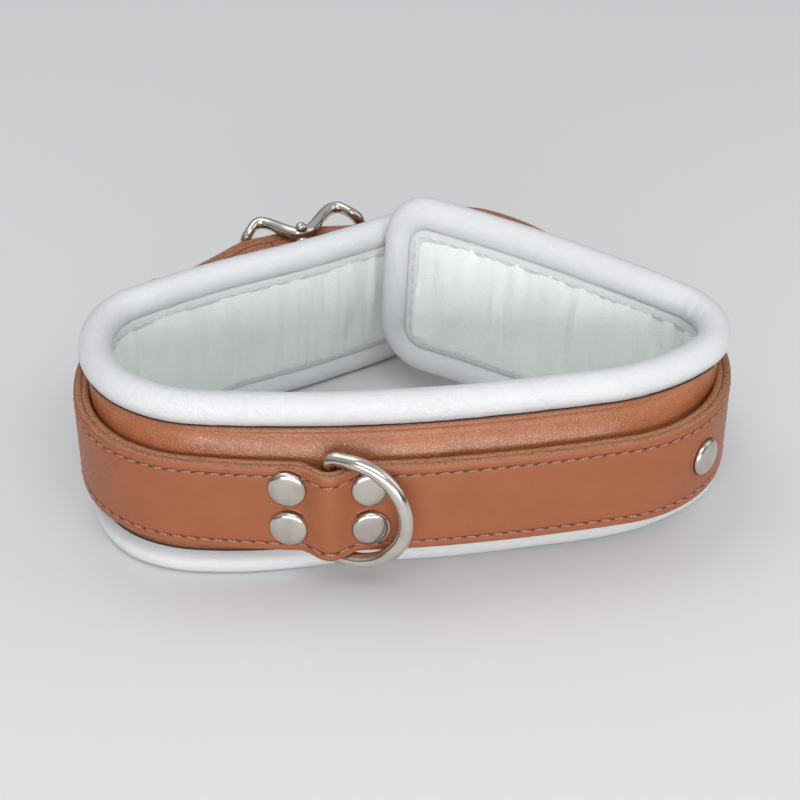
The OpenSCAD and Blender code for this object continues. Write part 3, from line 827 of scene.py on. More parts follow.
@dataclass
class NeckPad:
    """The foam pad: its puffed cover, smooth lining, rolled edge, inner hem and seam."""

    height: float = 51.0
    roll: float = 4.3
    corner: float = 9.0
    cover_thickness: float = 1.1
    lining_thickness: float = 0.9
    # The filling's flat shoulder on the outer side, and its shoulder and puff on the inner side
    shoulder: float = 2.3
    inner_shoulder: float = 1.9
    inner_puff: float = 1.6
    # Room between the filling and each skin, and each skin's wall as it is drawn
    skin_gap: float = 0.06
    cover_wall: float = 0.6
    lining_wall: float = 0.7
    puff_rows: tuple[tuple[float, float], ...] = (
        (0, 3.4), (44, 4.2), (58, 2.8), (66, 0.9), (74, -1.2), (80, -1.9), (89, -2.6),
        (94, -1.9), (99, -2.0), (104, -2.6), (115, -2.6), (126, -1.4), (141, 1.4), (155, 3.1),
        (170, 3.8), (196, 5.0), (235, 5.7), (278, 5.7), (288, 4.0), (297, 0.9), (306, -2.2),
        (314, -2.6), (322, -1.0), (332, 1.8), (350, 3.4), (414, 3.4))
    line: PlanLine = PlanLine((8.8, 54.5), 218.9, (
        (57, -12), (40, 11.5), (9, 32), (60.5, 105), (71, 15), (30, 2.5), (33.5, 36.5),
        (26.5, 96.5), (84, 16)))
    splay_rows: tuple[tuple[float, float], ...] = (
        (0, 0), (112, 0), (130, 0.6), (139, 2.6), (147, 4.7), (155, 5.2), (165, 4.6), (176, 4.1),
        (187, 2.3), (199, 0.2), (206, 0), (414, 0))
    splay_from: float = 4.5
    splay_run: float = 7.0
    # Middle and half length of the places where the pad bends and its leather gathers
    bends: tuple[tuple[float, float], ...] = ((130.0, 34.0), (316.0, 26.0))
    rise_from: float = 306.0
    rise_height: float = 11.3
    rise_power: float = 1.15
    # How far the top leans out, where that starts along the pad and over what run
    right_lean: tuple[float, float, float] = (6.8, 305.0, 45.0)
    left_lean: tuple[float, float, float] = (-4.8, 60.0, 50.0)
    gap: float = 0.1
    # Each skin's rim meets the roll at most this far out, and then passes under it in two steps
    rim_hold: float = 3.35
    rim_steps: tuple[float, ...] = (0.0, 0.0, 0.9, 2.0)
    end_fade: float = 14.0
    rounding: float = 6.0
    # The hem's seam: its depth inside the rolls' middle line, its pitch and its height inwards
    seam_depth: float = 5.3
    seam_pitch: float = 3.4
    hem_face: float = 3.42

    @property
    def low(self) -> float:
        """Height of the lower roll's middle."""
        return self.roll

    @property
    def high(self) -> float:
        """Height of the upper roll's middle."""
        return self.height - self.roll

    @property
    def fill(self) -> tuple[float, float]:
        """Heights between which the pad is filled."""
        edge = 2 * self.roll + self.gap
        return edge, self.height - edge

    def rise(self, s: Array) -> Array:
        """Lifts the right flank by a power curve from the end of the right bend to its end."""
        run = self.line.length - self.rise_from
        return self.rise_height * np.clip((s - self.rise_from) / run, 0.0, None) ** self.rise_power

    def lean(self, s: Array) -> Array:
        """Leans the right flank's top out and the left flank's top in, by smooth steps."""
        right, right_from, right_run = self.right_lean
        left, left_from, left_run = self.left_lean
        left_share = 1.0 - smooth((s - left_from) / left_run)
        return right * smooth((s - right_from) / right_run) + left * left_share

    def point(self, s: Array, out: Array, z: Array) -> Array:
        """Places a point that is a distance along, a distance out and a height on the pad."""
        plan, heading = self.line.at(s)
        side = out + self.lean(s) * (z - self.high) / (self.high - self.low) + self.splay(s, z)
        plan = plan + outward(heading) * side[..., None] + PLAN_SHIFT
        return np.concatenate([plan, (z + self.rise(s))[..., None]], axis=-1)

    def read(self, rows: tuple[tuple[float, float], ...], s: Array) -> Array:
        """Reads a value between its rows, averaged over the rounding length on each side."""
        at, value = np.array(rows, float).T
        spread = np.linspace(-self.rounding, self.rounding, 9)
        return np.interp(s[..., None] + spread, at, value).mean(axis=-1)

    def splay(self, s: Array, z: Array) -> Array:
        """Splays the lower roll out at the front left, fading to nothing above it."""
        share = 1.0 - smooth((z - self.splay_from) / self.splay_run)
        return self.read(self.splay_rows, s) * share

    def fade(self, s: Array) -> Array:
        """Brings the puff to nothing at both ends by a power of a quarter sine."""
        inside = np.minimum(s, self.line.length - s) - self.roll
        inside = np.clip(inside, 0.0, self.end_fade) / self.end_fade
        return np.sin(0.5 * math.pi * inside) ** 0.7

    def crown(self, z: Array, power: float = 0.6) -> Array:
        """Rounds the filling between the rolls by a power of a half sine."""
        low, high = self.fill
        return np.clip(np.sin(math.pi * (z - low) / (high - low)), 0.0, None) ** power

    def inset(self, s: Array, z: Array) -> Array:
        """Moves places near the ends inwards so that the filling's corners follow the roll's."""
        low, high = self.fill
        r = self.corner - self.roll - self.gap
        q = np.clip(np.maximum(r - (z - low), r - (high - z)), 0.0, r)
        a = self.roll + self.gap + r - np.sqrt(r * r - q * q)
        left = self.line.length - s
        c = self.corner
        near = np.where(s < c, a + s / c * (c - a), s)
        return np.where(left < c, self.line.length - a - left / c * (c - a), near)

    def bent(self, s: Array) -> Array:
        """Gives how far a place belongs to one of the bends, from 0 to 1."""
        return sum(hump(s, at, half) for at, half in self.bends)

    def pinches(self, s: Array, z: Array, depth: float, seed: int) -> Array:
        """Gives upright folds at the bends: cubed ridges of 1 - |sine|, waved by noise."""
        folds = np.zeros_like(s)
        for at, half in self.bends:
            wander = 2.2 * value_noise(s / 9.0, z / 13.0, seed)
            ridge = 1.0 - np.abs(np.sin(math.pi * (s - at + wander) / 7.5))
            folds = folds + hump(s, at, half) * ridge ** 3
        return depth * folds * self.crown(z, 0.8)

    def skin_grid(self, step: float, rows: int) -> tuple[Array, Array]:
        """Lays a grid over the filling, closer together near the rolls.

        Args:
            step: Distance between places along the pad.
            rows: Number of heights.

        Returns:
            Distances along, after the inset, and heights.
        """
        s = np.linspace(0.0, self.line.length, int(self.line.length / step) + 1)
        low, high = self.fill
        z = low + (high - low) * (1 - np.cos(np.linspace(0, math.pi, rows))) / 2
        s, z = np.meshgrid(s, z, indexing="ij")
        return self.inset(s, z), z

    def cover(self) -> Surface:
        """Shapes the cover: shoulder plus puff times crown, with swells, its rim tucked in."""
        s, z = self.skin_grid(1.1, 44)
        swell = swells(s, z, (0.2, 13.0, 9.0, 3), (0.05, 4.2, 3.6, 4))
        puff = self.read(self.puff_rows, s)
        body = self.shoulder + np.where(puff > 0, puff * self.crown(z), puff) * self.fade(s)
        out = body + self.skin_gap + self.cover_thickness + swell * self.crown(z, 0.5)
        out = out + self.pinches(s, z, 0.35, 5)
        s, out, z, level = self.tucked_rim(s, out, z)
        uv = np.stack([s, z], axis=-1) * UV_SCALE
        # The rings that pass under the roll are marked for the painted shadow of that gap
        return shell(self.point(s, out, z), self.point(s, out - self.cover_wall, z), uv,
                     {"tuck_shadow": np.array([0.0, 1.0, 1.0, 1.0])[level]})

    def tucked_rim(self, s: Array, out: Array, z: Array) -> tuple[Array, Array, Array, Array]:
        """Adds three rings to a skin's grid: one touches the roll and two pass under it.

        Args:
            s: Distances along the pad, one for each place of the grid.
            out: Distances out.
            z: Heights.

        Returns:
            The three grids with their rings, and each place's ring from 0 to 3.
        """
        rings = 3
        s, out, z = (np.pad(grid, rings, mode="edge") for grid in (s, out, z))
        row, column = np.indices(s.shape)
        outside = np.maximum(rings - row, row - (s.shape[0] - 1 - rings))
        outside = np.maximum(outside, np.maximum(rings - column, column - (s.shape[1] - 1 - rings)))
        level = np.clip(outside, 0, rings)
        low, high = self.fill
        corner = self.corner - self.roll - self.gap
        bend = np.clip(np.maximum(corner - (z - low), corner - (high - z)) / corner, 0.0, 1.0)
        held = np.minimum(out, self.rim_hold) - np.array(self.rim_steps)[level]
        touch = self.roll + 0.15
        move = self.roll + self.gap - np.sqrt(touch * touch - held * held)
        move = np.where(level > 0, move, 0.0)
        s = s + np.sign(s - self.line.length / 2) * np.sqrt(1.0 - bend * bend) * move
        z = z + np.sign(z - (low + high) / 2) * bend * move
        return s, np.where(level > 0, held, out), z, level

    def lining(self) -> Surface:
        """Shapes the lining: padded inwards, with upright folds at the bends."""
        s, z = self.skin_grid(0.9, 40)
        inner = -self.inner_shoulder - self.inner_puff * self.crown(z) * self.fade(s)
        swell = swells(s, z, (0.16, 10.0, 9.0, 8), (0.06, 3.5, 5.0, 9))
        out = inner - self.lining_thickness - self.skin_gap + swell * self.crown(z, 0.6)
        out = out - self.pinches(s, z, 2.4, 10) + self.pinches(s + 3.4, z, 1.3, 11)
        pleat = swells(s, z, (1.0, 2.8, 26.0, 12), (0.6, 1.6, 18.0, 13))
        out = out + (0.9 + 1.3 * self.bent(s)) * pleat * self.crown(z, 0.6)
        edge = np.minimum(z - self.fill[0], self.fill[1] - z)
        # Painted shade on the lining next to the hem and the rolls
        seam_and_crease_shade = 0.25 * (1.0 - smooth(edge / 4.0))
        uv = np.stack([s, z], axis=-1) * UV_SCALE
        inside = self.point(s, out + self.lining_wall, z)
        return shell(self.point(s, out, z), inside, uv, {"seam_and_crease_shade": seam_and_crease_shade})

    def rim_line(self, depth: float) -> PlanLine:
        """Draws a rounded rectangle, a depth inside the rolls' middle line, along and up."""
        arc = ((self.corner - depth) * math.pi / 2, 90.0)
        wide = (self.line.length - 2 * self.corner, 0.0)
        tall = (self.high - self.low - 2 * self.corner, 0.0)
        return PlanLine((self.corner, self.low + depth), 0.0, (wide, arc, tall, arc) * 2)

    def rim(self, t: Array, depth: float) -> tuple[Array, Array, Array]:
        """Follows the rim line.

        Args:
            t: Places round the rim from 0 to 1, from the lower left corner's end.
            depth: How far inside the rolls' middle line it runs.

        Returns:
            Distances along, heights and the angle that faces out of the rim.
        """
        line = self.rim_line(depth)
        place, heading = line.at((t % 1.0) * line.length)
        return place[..., 0], place[..., 1], heading - math.pi / 2

    def edge_roll(self) -> Surface:
        """Rolls the binding: a round tube along the rim with faint cross creases."""
        count, sides = 760, 22
        t = np.linspace(0, 1, count, endpoint=False)
        around = np.linspace(0, 2 * math.pi, sides, endpoint=False)
        tt, turn = np.meshgrid(t, around, indexing="ij")
        s, z, angle = self.rim(tt, 0.0)
        along = tt * self.rim_line(0.0).length
        crease = 0.05 * value_noise(along / 2.6, turn * 0.8, 21)
        lumps = 0.07 * value_noise(along / 12.0, turn * 1.1, 22)
        # On the inner side of the tight bends the leather gathers in small folds
        fold = 0.16 * self.bent(s) * np.sin(2 * math.pi * along / 5.2 + 3 * lumps / 0.07)
        r = self.roll + crease + lumps + fold * smooth(np.sin(turn))
        side = r * np.cos(turn)
        points = self.point(s + side * np.cos(angle), -r * np.sin(turn), z + side * np.sin(angle))
        points[..., 2] = np.maximum(points[..., 2], 0.0)
        uv = np.stack([along * UV_SCALE, turn / (2 * math.pi)], axis=-1)
        # Painted shade on the roll along its seam with the cover
        joint = 0.5 * hump(turn, 1.35 * math.pi, 0.35)
        return swept(points, closed=True, uv=uv, marks={"seam_and_crease_shade": joint})

    def seam_strip(self) -> Surface:
        """Lays the binding's flat inner hem on the lining as a thin rounded band along the rim."""
        count = 620
        t = np.linspace(0, 1, count, endpoint=False)
        section = np.array([(3.4, -1.6), (3.6, -2.95), (4.3, -3.32), (6.3, -3.34), (6.7, -3.12),
                            (6.75, -2.85), (6.4, -2.7), (4.4, -2.6)])
        along = t * self.rim_line(0.0).length
        rings = []
        for depth, out in section:
            s, z, _ = self.rim(t, depth)
            wave = 0.08 * value_noise(along / 6.0, np.full(count, depth), 31)
            rings.append(self.point(s, out + wave, z))
        points = np.stack(rings, axis=1)
        uv = np.stack([np.repeat(t[:, None] * 9, 8, axis=1), np.tile(np.arange(8) / 8, (count, 1))],
                      axis=-1)
        return swept(points, closed=True, uv=uv, marks={"seam_and_crease_shade": np.zeros((count, 8))})

    def seam_stitches(self) -> Surface:
        """Sews the hem: thread bits at an even pitch along the rim, each a little askew."""
        depth = self.seam_depth
        length = self.rim_line(depth).length
        count = int(length / self.seam_pitch)
        unit = capsule(2.5, 0.62, 0.5)
        skew = np.random.default_rng(41).normal(0.0, 0.06, (count, 1))

        def place(index: Array, p: Array) -> Array:
            """Lays a stitch along the rim, on the inner face of the hem."""
            along = (index + 0.5) * length / count + p[..., 0]
            s, z, angle = self.rim(along / length, depth)
            side = p[..., 2] + skew * p[..., 0]
            return self.point(s + side * np.cos(angle), -self.hem_face - p[..., 1],
                              z + side * np.sin(angle))

        return repeated(unit, count, place)

    def build(self, finishes: Finishes) -> None:
        """Makes and dresses the pad's pieces."""
        add = finishes.add
        cover = add("pad_cover", self.cover(), Slot.COVER, "outer_cover", "foam_core")
        add("pad_lining", self.lining(), Slot.LINING, "inner_lining")
        add("edge_roll", self.edge_roll(), Slot.BINDING, "edge_binding")
        add("edge_hem", self.seam_strip(), Slot.BINDING)
        add("hem_stitches", self.seam_stitches(), Slot.PALE_THREAD, "binding_seam")


# ---- Strap ----

BUCKLE_TURN = 19.0
# Directions along the buckle and out of it
BUCKLE_ALONG = np.array([math.cos(math.radians(BUCKLE_TURN)),
                         math.sin(math.radians(BUCKLE_TURN)), 0.0])
BUCKLE_OUT = np.array([-BUCKLE_ALONG[1], BUCKLE_ALONG[0], 0.0])
BAR_CENTRE = np.array([-29.0, 50.0])
FOLD_LENGTH = 9.0


@dataclass
class Strap:
    """The two-layer strap with its seams, holes and the bulge over the ring's bar."""

    width: float = 25.0
    layer: float = 2.1
    base: float = 12.5
    lift: float = 3.0
    seam_inset: float = 2.4
    pitch: float = 3.5
    ring_at: float = 173.1
    bulge: float = 4.5
    bulge_half: float = 8.0
    tip: float = 11.0
    # Where the smooth lifts towards the buckle stop on the left and start on the right
    rise_at: tuple[float, float] = (48.0, 330.0)
    rise_run: float = 70.0
    flank_lift: float = 2.2
    flank_from: float = 352.0
    flank_run: float = 75.0
    # The prong's slot: its distance along the tail, its shift off the bar and its half length
    slot_at: float = 438.4
    slot_shift: float = 4.5
    slot_half: float = 5.1
    # The spare holes: their number, radius, gap from the slot and pitch
    spare_holes: int = 3
    hole_radius: float = 2.1
    first_hole: float = 10.0
    hole_pitch: float = 19.0
    line: PlanLine = PlanLine(
        tuple(BAR_CENTRE - FOLD_LENGTH * BUCKLE_ALONG[:2]), 180.0 + BUCKLE_TURN,
        ((2, 0.1), (6.6, 34.4), (37.2, -9.7), (16.2, 21.7), (33.2, 36.9), (41.8, 68.4),
         (66.8, 17.5), (45.5, 6.1), (35.4, 55.7), (51, 61.9), (65, 10.6), (18.4, 61.9),
         (19.2, -5.5), (11, -16), (11, 16), (5.5, 16.5), (5.5, -16.5), (9.3, 34.5), (44, -11.8)))

    @property
    def middle(self) -> float:
        """Height of the strap's middle line at the front."""
        return self.base + self.width / 2

    def rise(self, s: Array) -> Array:
        """Lifts the strap towards the buckle by smooth steps, and a little more on the right."""
        flank = np.clip((s - self.flank_from) / self.flank_run, 0.0, 1.0)
        left, right = (smooth((s - at) / self.rise_run) for at in self.rise_at)
        return self.lift * (1.0 - left + right) + self.flank_lift * np.sin(math.pi * flank) ** 2

    def point(self, s: Array, out: Array, up: Array) -> Array:
        """Places a point that is along, out from the middle surface and up from the middle line."""
        plan, heading = self.line.at(s)
        side = out + self.bulge * hump(s, self.ring_at, self.bulge_half)
        plan = plan + outward(heading) * side[..., None] + PLAN_SHIFT
        return np.concatenate([plan, (self.middle + up + self.rise(s))[..., None]], axis=-1)

    def tip_scale(self, s: Array) -> Array:
        """Narrows the tail's end by an ellipse."""
        t = np.clip((s - (self.line.length - self.tip)) / self.tip, 0.0, 1.0)
        return np.sqrt(np.clip(1.0 - t * t, 0.02, 1.0))

    def section(self, outer: bool) -> tuple[Array, Array, Array]:
        """Gives one layer's outline: rounded outer corners, seam grooves and square inner corners.

        Args:
            outer: Whether it is the outer layer, whose face looks away from the neck.

        Returns:
            Distances out and up of the outline's points, and the edge and groove marks.
        """
        h, t, g = self.width / 2, self.layer, self.width / 2 - self.seam_inset
        # Each point gives its distance out, its height, its edge mark and its groove mark; the
        # groove mark paints shade into the seam grooves
        face = [(t - 0.95, h, 1, 0), (t - 0.55, h - 0.05, 0.6, 0), (t - 0.14, h - 0.3, 0, 0),
                (t, h - 0.9, 0, 0), (t, g + 0.75, 0, 0), (t - 0.06, g + 0.45, 0, 0.4),
                (t - 0.2, g + 0.22, 0, 1), (t - 0.24, g, 0, 1), (t - 0.2, g - 0.22, 0, 1),
                (t - 0.06, g - 0.45, 0, 0.4), (t, g - 0.75, 0, 0), (t + 0.03, g - 2.5, 0, 0),
                (t + 0.05, 0.5 * g, 0, 0), (t + 0.05, 0.2 * g, 0, 0)]
        inner = [(0.32, h, 1, 0), (0.1, h - 0.12, 1, 0.8), (0.02, h - 0.4, 1, 1)]
        half = np.array(inner[::-1] + face, float)
        other = half[::-1] * np.array([1, -1, 1, 1])
        whole = np.concatenate([half, other])
        sign = 1.0 if outer else -1.0
        return whole[:, :2] * np.array([sign, 1.0]), whole[:, 2], whole[:, 3]

    def layer_surface(self, outer: bool) -> Surface:
        """Sweeps one layer's outline along the strap, with a trace of waviness in its face."""
        outline, edge, groove = self.section(outer)
        end = self.line.length
        tip = end - self.tip * np.cos(np.linspace(0, math.pi / 2, 16))[:-1]
        s = np.unique(np.round([*np.arange(0.0, end - self.tip, 1.25), *tip, end], 3))
        ss = np.repeat(s[:, None], len(outline), axis=1)
        scale = self.tip_scale(ss)
        out = np.repeat(outline[None, :, 0], len(s), axis=0)
        up = outline[None, :, 1] * scale
        wave = 0.05 * value_noise(ss / 7.0, up / 9.0, 51 if outer else 52)
        fray = 0.16 * value_noise(ss / 1.3, out * 1.5, 53) * edge[None, :]
        points = self.point(ss, out + wave * (1 - edge[None, :]), up + fray * np.sign(up))
        # The tail's end is cut too
        marks = {"edge": np.maximum(edge[None, :], smooth(ss - (end - 1.5))),
                 "groove": np.repeat(groove[None, :], len(s), axis=0)}
        uv = np.stack([ss * UV_SCALE, up * UV_SCALE + 0.5], axis=-1)
        return swept(points, uv=uv, marks=marks)

    @property
    def stitch_count(self) -> int:
        """Number of stitches from the strap's start to its tip."""
        return int((self.line.length - self.tip) / self.pitch)

    def stitches(self, up: float, outer: bool) -> Surface:
        """Sews one seam: thread bits at an even pitch in the groove, each slightly askew."""
        count = self.stitch_count
        rng = np.random.default_rng(61 if up > 0 else 62)
        skew = 0.1 * (1 if up > 0 else -1) + rng.normal(0.0, 0.03, (count, 1))
        sign = 1.0 if outer else -1.0

        def place(index: Array, p: Array) -> Array:
            """Lays a stitch in the groove, with its ends dipping into the leather."""
            s = (index + 0.5) * self.pitch + p[..., 0]
            dip = 0.1 * (np.abs(p[..., 0]) / 1.3) ** 2
            out = sign * (self.layer - 0.02 - dip + p[..., 1])
            return self.point(s, out, up + p[..., 2] + skew * p[..., 0])

        return repeated(capsule(2.7, 0.72, 0.46), count, place)

    def needle_holes(self, up: float) -> Surface:
        """Punches dimples between the thread bits as small sunken discs, painted dark as the shade
        in the holes.
        """

        def place(index: Array, p: Array) -> Array:
            """Sinks a disc where two stitches meet."""
            s = index * self.pitch + p[..., 0] + 0.02
            return self.point(s, self.layer - 0.2 + p[..., 1], up + p[..., 2])

        holes = repeated(capsule(0.95, 0.8, 0.16, 4, 8), self.stitch_count, place)
        # The holes are painted dark as shade
        holes.marks["groove"] = np.full(len(holes.points), 1.8)
        return holes

    def frame_at(self, s: float) -> tuple[Array, Array, Array]:
        """Gives the origin, the along direction and the outward direction on the strap at s."""
        plan, heading = self.line.at(np.array(s))
        origin = np.append(plan + PLAN_SHIFT, self.middle + float(self.rise(np.array(s))))
        along = np.array([math.cos(heading), math.sin(heading), 0.0])
        out = np.append(outward(heading), 0.0)
        return origin, along, out

    @property
    def bar_middle(self) -> Array:
        """Place of the middle of the buckle's bar."""
        return np.append(BAR_CENTRE + PLAN_SHIFT, self.middle + self.lift)

    def build(self, finishes: Finishes) -> None:
        """Makes and dresses the strap's pieces, and cuts the tail's slot and holes."""
        cutters = self.cutters()
        finishes.add("strap_face_layer", self.layer_surface(True), Slot.STRAP, "strap_outer_layer",
                     cutter=cutters)
        finishes.add("strap_back_layer", self.layer_surface(False), Slot.STRAP, "strap_backing",
                     cutter=cutters)
        g = self.width / 2 - self.seam_inset
        for name, up in (("upper", g), ("lower", -g)):
            seam = self.stitches(up, True).merged(self.stitches(up, False))
            finishes.add(f"strap_stitches_{name}", seam, Slot.STRAP_THREAD, f"strap_seam_{name}")
            finishes.add(f"needle_holes_{name}", self.needle_holes(up), Slot.STRAP)

    def cutters(self) -> Surface:
        """Makes the rods that cut the tail's oblong prong slot and its three spare holes."""
        r = self.hole_radius
        foot = self.bar_middle + BUCKLE_ALONG * self.slot_shift + BUCKLE_OUT
        whole = rod(foot, BUCKLE_ALONG, BUCKLE_OUT, self.slot_half, r, 13.0)
        for k in range(self.spare_holes):
            origin, along, out = self.frame_at(self.slot_at - self.first_hole - self.hole_pitch * k)
            whole = whole.merged(rod(origin - out * 6.0, along, out, r, r, 12.0))
        return whole


def rod(foot: Array, along: Array, out: Array, half_long: float, half_high: float,
        length: float) -> Surface:
    """Makes a rod with an oval end, from a foot point outwards.

    Args:
        foot: Middle of its inner end.
        along: Direction of the oval's long half.
        out: Direction of the rod.
        half_long: Half of the oval along the strap.
        half_high: Half of the oval upwards.
        length: The rod's length.

    Returns:
        The rod, marked as a cut edge.
    """
    angle = np.linspace(0, 2 * math.pi, 28, endpoint=False)
    flat = max(half_long - half_high, 0.0)
    x = half_high * np.cos(angle) + flat * np.sign(np.round(np.cos(angle), 6))
    ring = x[:, None] * along + (half_high * np.sin(angle))[:, None] * UP
    return leather_cutter(np.stack([foot + ring, foot + out * length + ring]))


def leather_cutter(rings: Array) -> Surface:
    """Skins two rings into a rod that leaves cut edges in the leather."""
    shape = rings.shape[:2]
    return swept(rings, uv=np.zeros((*shape, 2)), marks={"edge": np.ones(shape),
                                                         "groove": np.zeros(shape)})


def cut(piece: bpy.types.Object, shape: Surface) -> None:
    """Cuts a shape out of a piece and keeps the result as its mesh."""
    cutter = make_object("cutter", shape)
    modifier = piece.modifiers.new("cut", "BOOLEAN")
    modifier.operation = "DIFFERENCE"
    modifier.solver = "EXACT"
    modifier.object = cutter
    graph = bpy.context.evaluated_depsgraph_get()
    mesh = bpy.data.meshes.new_from_object(piece.evaluated_get(graph))
    piece.modifiers.clear()
    piece.data = mesh
    bpy.data.objects.remove(cutter)


# ---- Metal parts and leather small parts ----


def placed(surface: Surface, origin: Array, a: Array, b: Array, c: Array) -> Surface:
    """Moves a surface so that its x, y and z run along a, b and c from an origin."""
    surface.points = origin + surface.points @ np.stack([a, b, c])
    return surface


@dataclass
class LeadRing:
    """The D-shaped wire ring under the strap's bulge."""

    wire: float = 3.8
    bow: float = 14.8
    depth: float = 20.2
    corner: float = 2.5
    lean: float = 20.0

    def centre_line(self) -> tuple[Array, Array]:
        """Follows the D: the bar, a corner arc, an arm, the half-circle bow, and back.

        Returns:
            Places (away from the bar, up) and outward directions, both of shape (count, 2).
        """
        low, arm = self.bow - self.corner, self.depth - self.bow - self.corner
        arc = (self.corner * math.pi / 2, 90.0)
        line = PlanLine((0.0, low), -90.0, ((2 * low, 0.0), arc, (arm, 0.0),
                                            (self.bow * math.pi, 180.0), (arm, 0.0), arc))
        place, heading = line.at(line.stations((16, 10, 4, 56, 4, 10)))
        return place, outward(heading)

    def build(self, finishes: Finishes, strap: Strap) -> None:
        """Carries the wire's circle along the D and hangs it on the joint's place."""
        line, way = self.centre_line()
        turn = np.linspace(0, 2 * math.pi, 20, endpoint=False)
        r = self.wire / 2
        flat = line[:, None, :] + r * np.cos(turn)[None, :, None] * way[:, None, :]
        thick = np.repeat(r * np.sin(turn)[None, :], len(line), axis=0)
        rings = np.stack([flat[..., 0], thick, flat[..., 1]], axis=-1)
        _, along, out = strap.frame_at(strap.ring_at)
        joint = next(j for j in frame["joints"] if j["name"] == "ring_swing")
        origin = np.array(joint["pos_m"]) / MM
        angle = math.radians(self.lean)
        a = along * math.cos(angle) + out * math.sin(angle)
        b = out * math.cos(angle) - along * math.sin(angle)
        ring = placed(swept(rings, closed=True), origin, a, b, UP)
        finishes.add("lead_ring_wire", ring, Slot.POLISHED, "lead_ring", body=Body.RING)


@dataclass
class Rivets:
    """The six rivets' caps."""

    radius: float = 4.95
    offset: float = 10.1
    spacing: float = 11.8
    lift: float = 1.1
    tilt: float = 5.0
    side_at: tuple[float, ...] = (61.0, 272.0)
    # How far the caps' rims stand over the leather, beside the ring and at the bends
    ring_seat: float = 0.5
    side_seat: float = 0.4

    def cap(self) -> Surface:
        """Turns a cap: a nearly flat dome with a rounded rim that bites into the leather."""
        r = self.radius
        profile = [(0.02, 1.5), (0.9, 1.49), (1.8, 1.45), (2.7, 1.37), (3.5, 1.24), (4.1, 1.07),
                   (r - 0.4, 0.84), (r - 0.18, 0.58), (r - 0.06, 0.3), (r, 0.0), (r - 0.05, -0.3),
                   (r - 0.35, -0.55), (0.02, -0.55)]
        rings = lathe_rings(profile, 56)
        return swept(rings[..., [0, 2, 1]])

    def contact(self) -> Surface:
        """Presses a low ring of leather up round a cap, so that the cap sits in a dimple."""
        r = self.radius
        profile = [(r + 0.9, -0.55), (r + 0.7, -0.5), (r + 0.45, -0.43), (r + 0.2, -0.36),
                   (r + 0.03, -0.4), (r - 0.02, -0.7), (r + 0.8, -0.9)]
        rings = lathe_rings(profile, 56)[..., [0, 2, 1]]
        shape = rings.shape[:2]
        marks = {"edge": np.zeros(shape), "groove": np.zeros(shape)}
        # The ring where the cap meets the leather gets painted shade
        marks["groove"][3:6] = 1.6
        return swept(rings, closed=True, uv=np.zeros((*shape, 2)), marks=marks)

    def build(self, finishes: Finishes, strap: Strap) -> None:
        """Places the four caps beside the ring and the two at the bends."""
        spots: list[tuple[str, Array, Array, Array, str]] = []
        for side, hand in ((-1, "left"), (1, "right")):
            origin, along, out = strap.frame_at(strap.ring_at + side * self.offset)
            lean = math.radians(self.tilt) * side
            b = out * math.cos(lean) + along * math.sin(lean)
            a = along * math.cos(lean) - out * math.sin(lean)
            for level, where in ((-1, "low"), (1, "high")):
                foot = origin + UP * (self.lift + level * self.spacing / 2)
                foot = foot + out * (strap.layer + self.ring_seat)
                spots.append((f"{hand}_{where}", foot, a, b, "ring_rivet_caps"))
        for at, hand in zip(self.side_at, ("left", "right")):
            origin, along, out = strap.frame_at(at)
            foot = origin + out * (strap.layer + self.side_seat)
            spots.append((f"bend_{hand}", foot, along, out, "side_rivet_caps"))
        for name, foot, a, b, node in spots:
            finishes.add(f"rivet_cap_{name}", placed(self.cap(), foot, a, b, UP), Slot.SATIN, node)
            finishes.add(f"rivet_dimple_{name}", placed(self.contact(), foot, a, b, UP), Slot.STRAP)


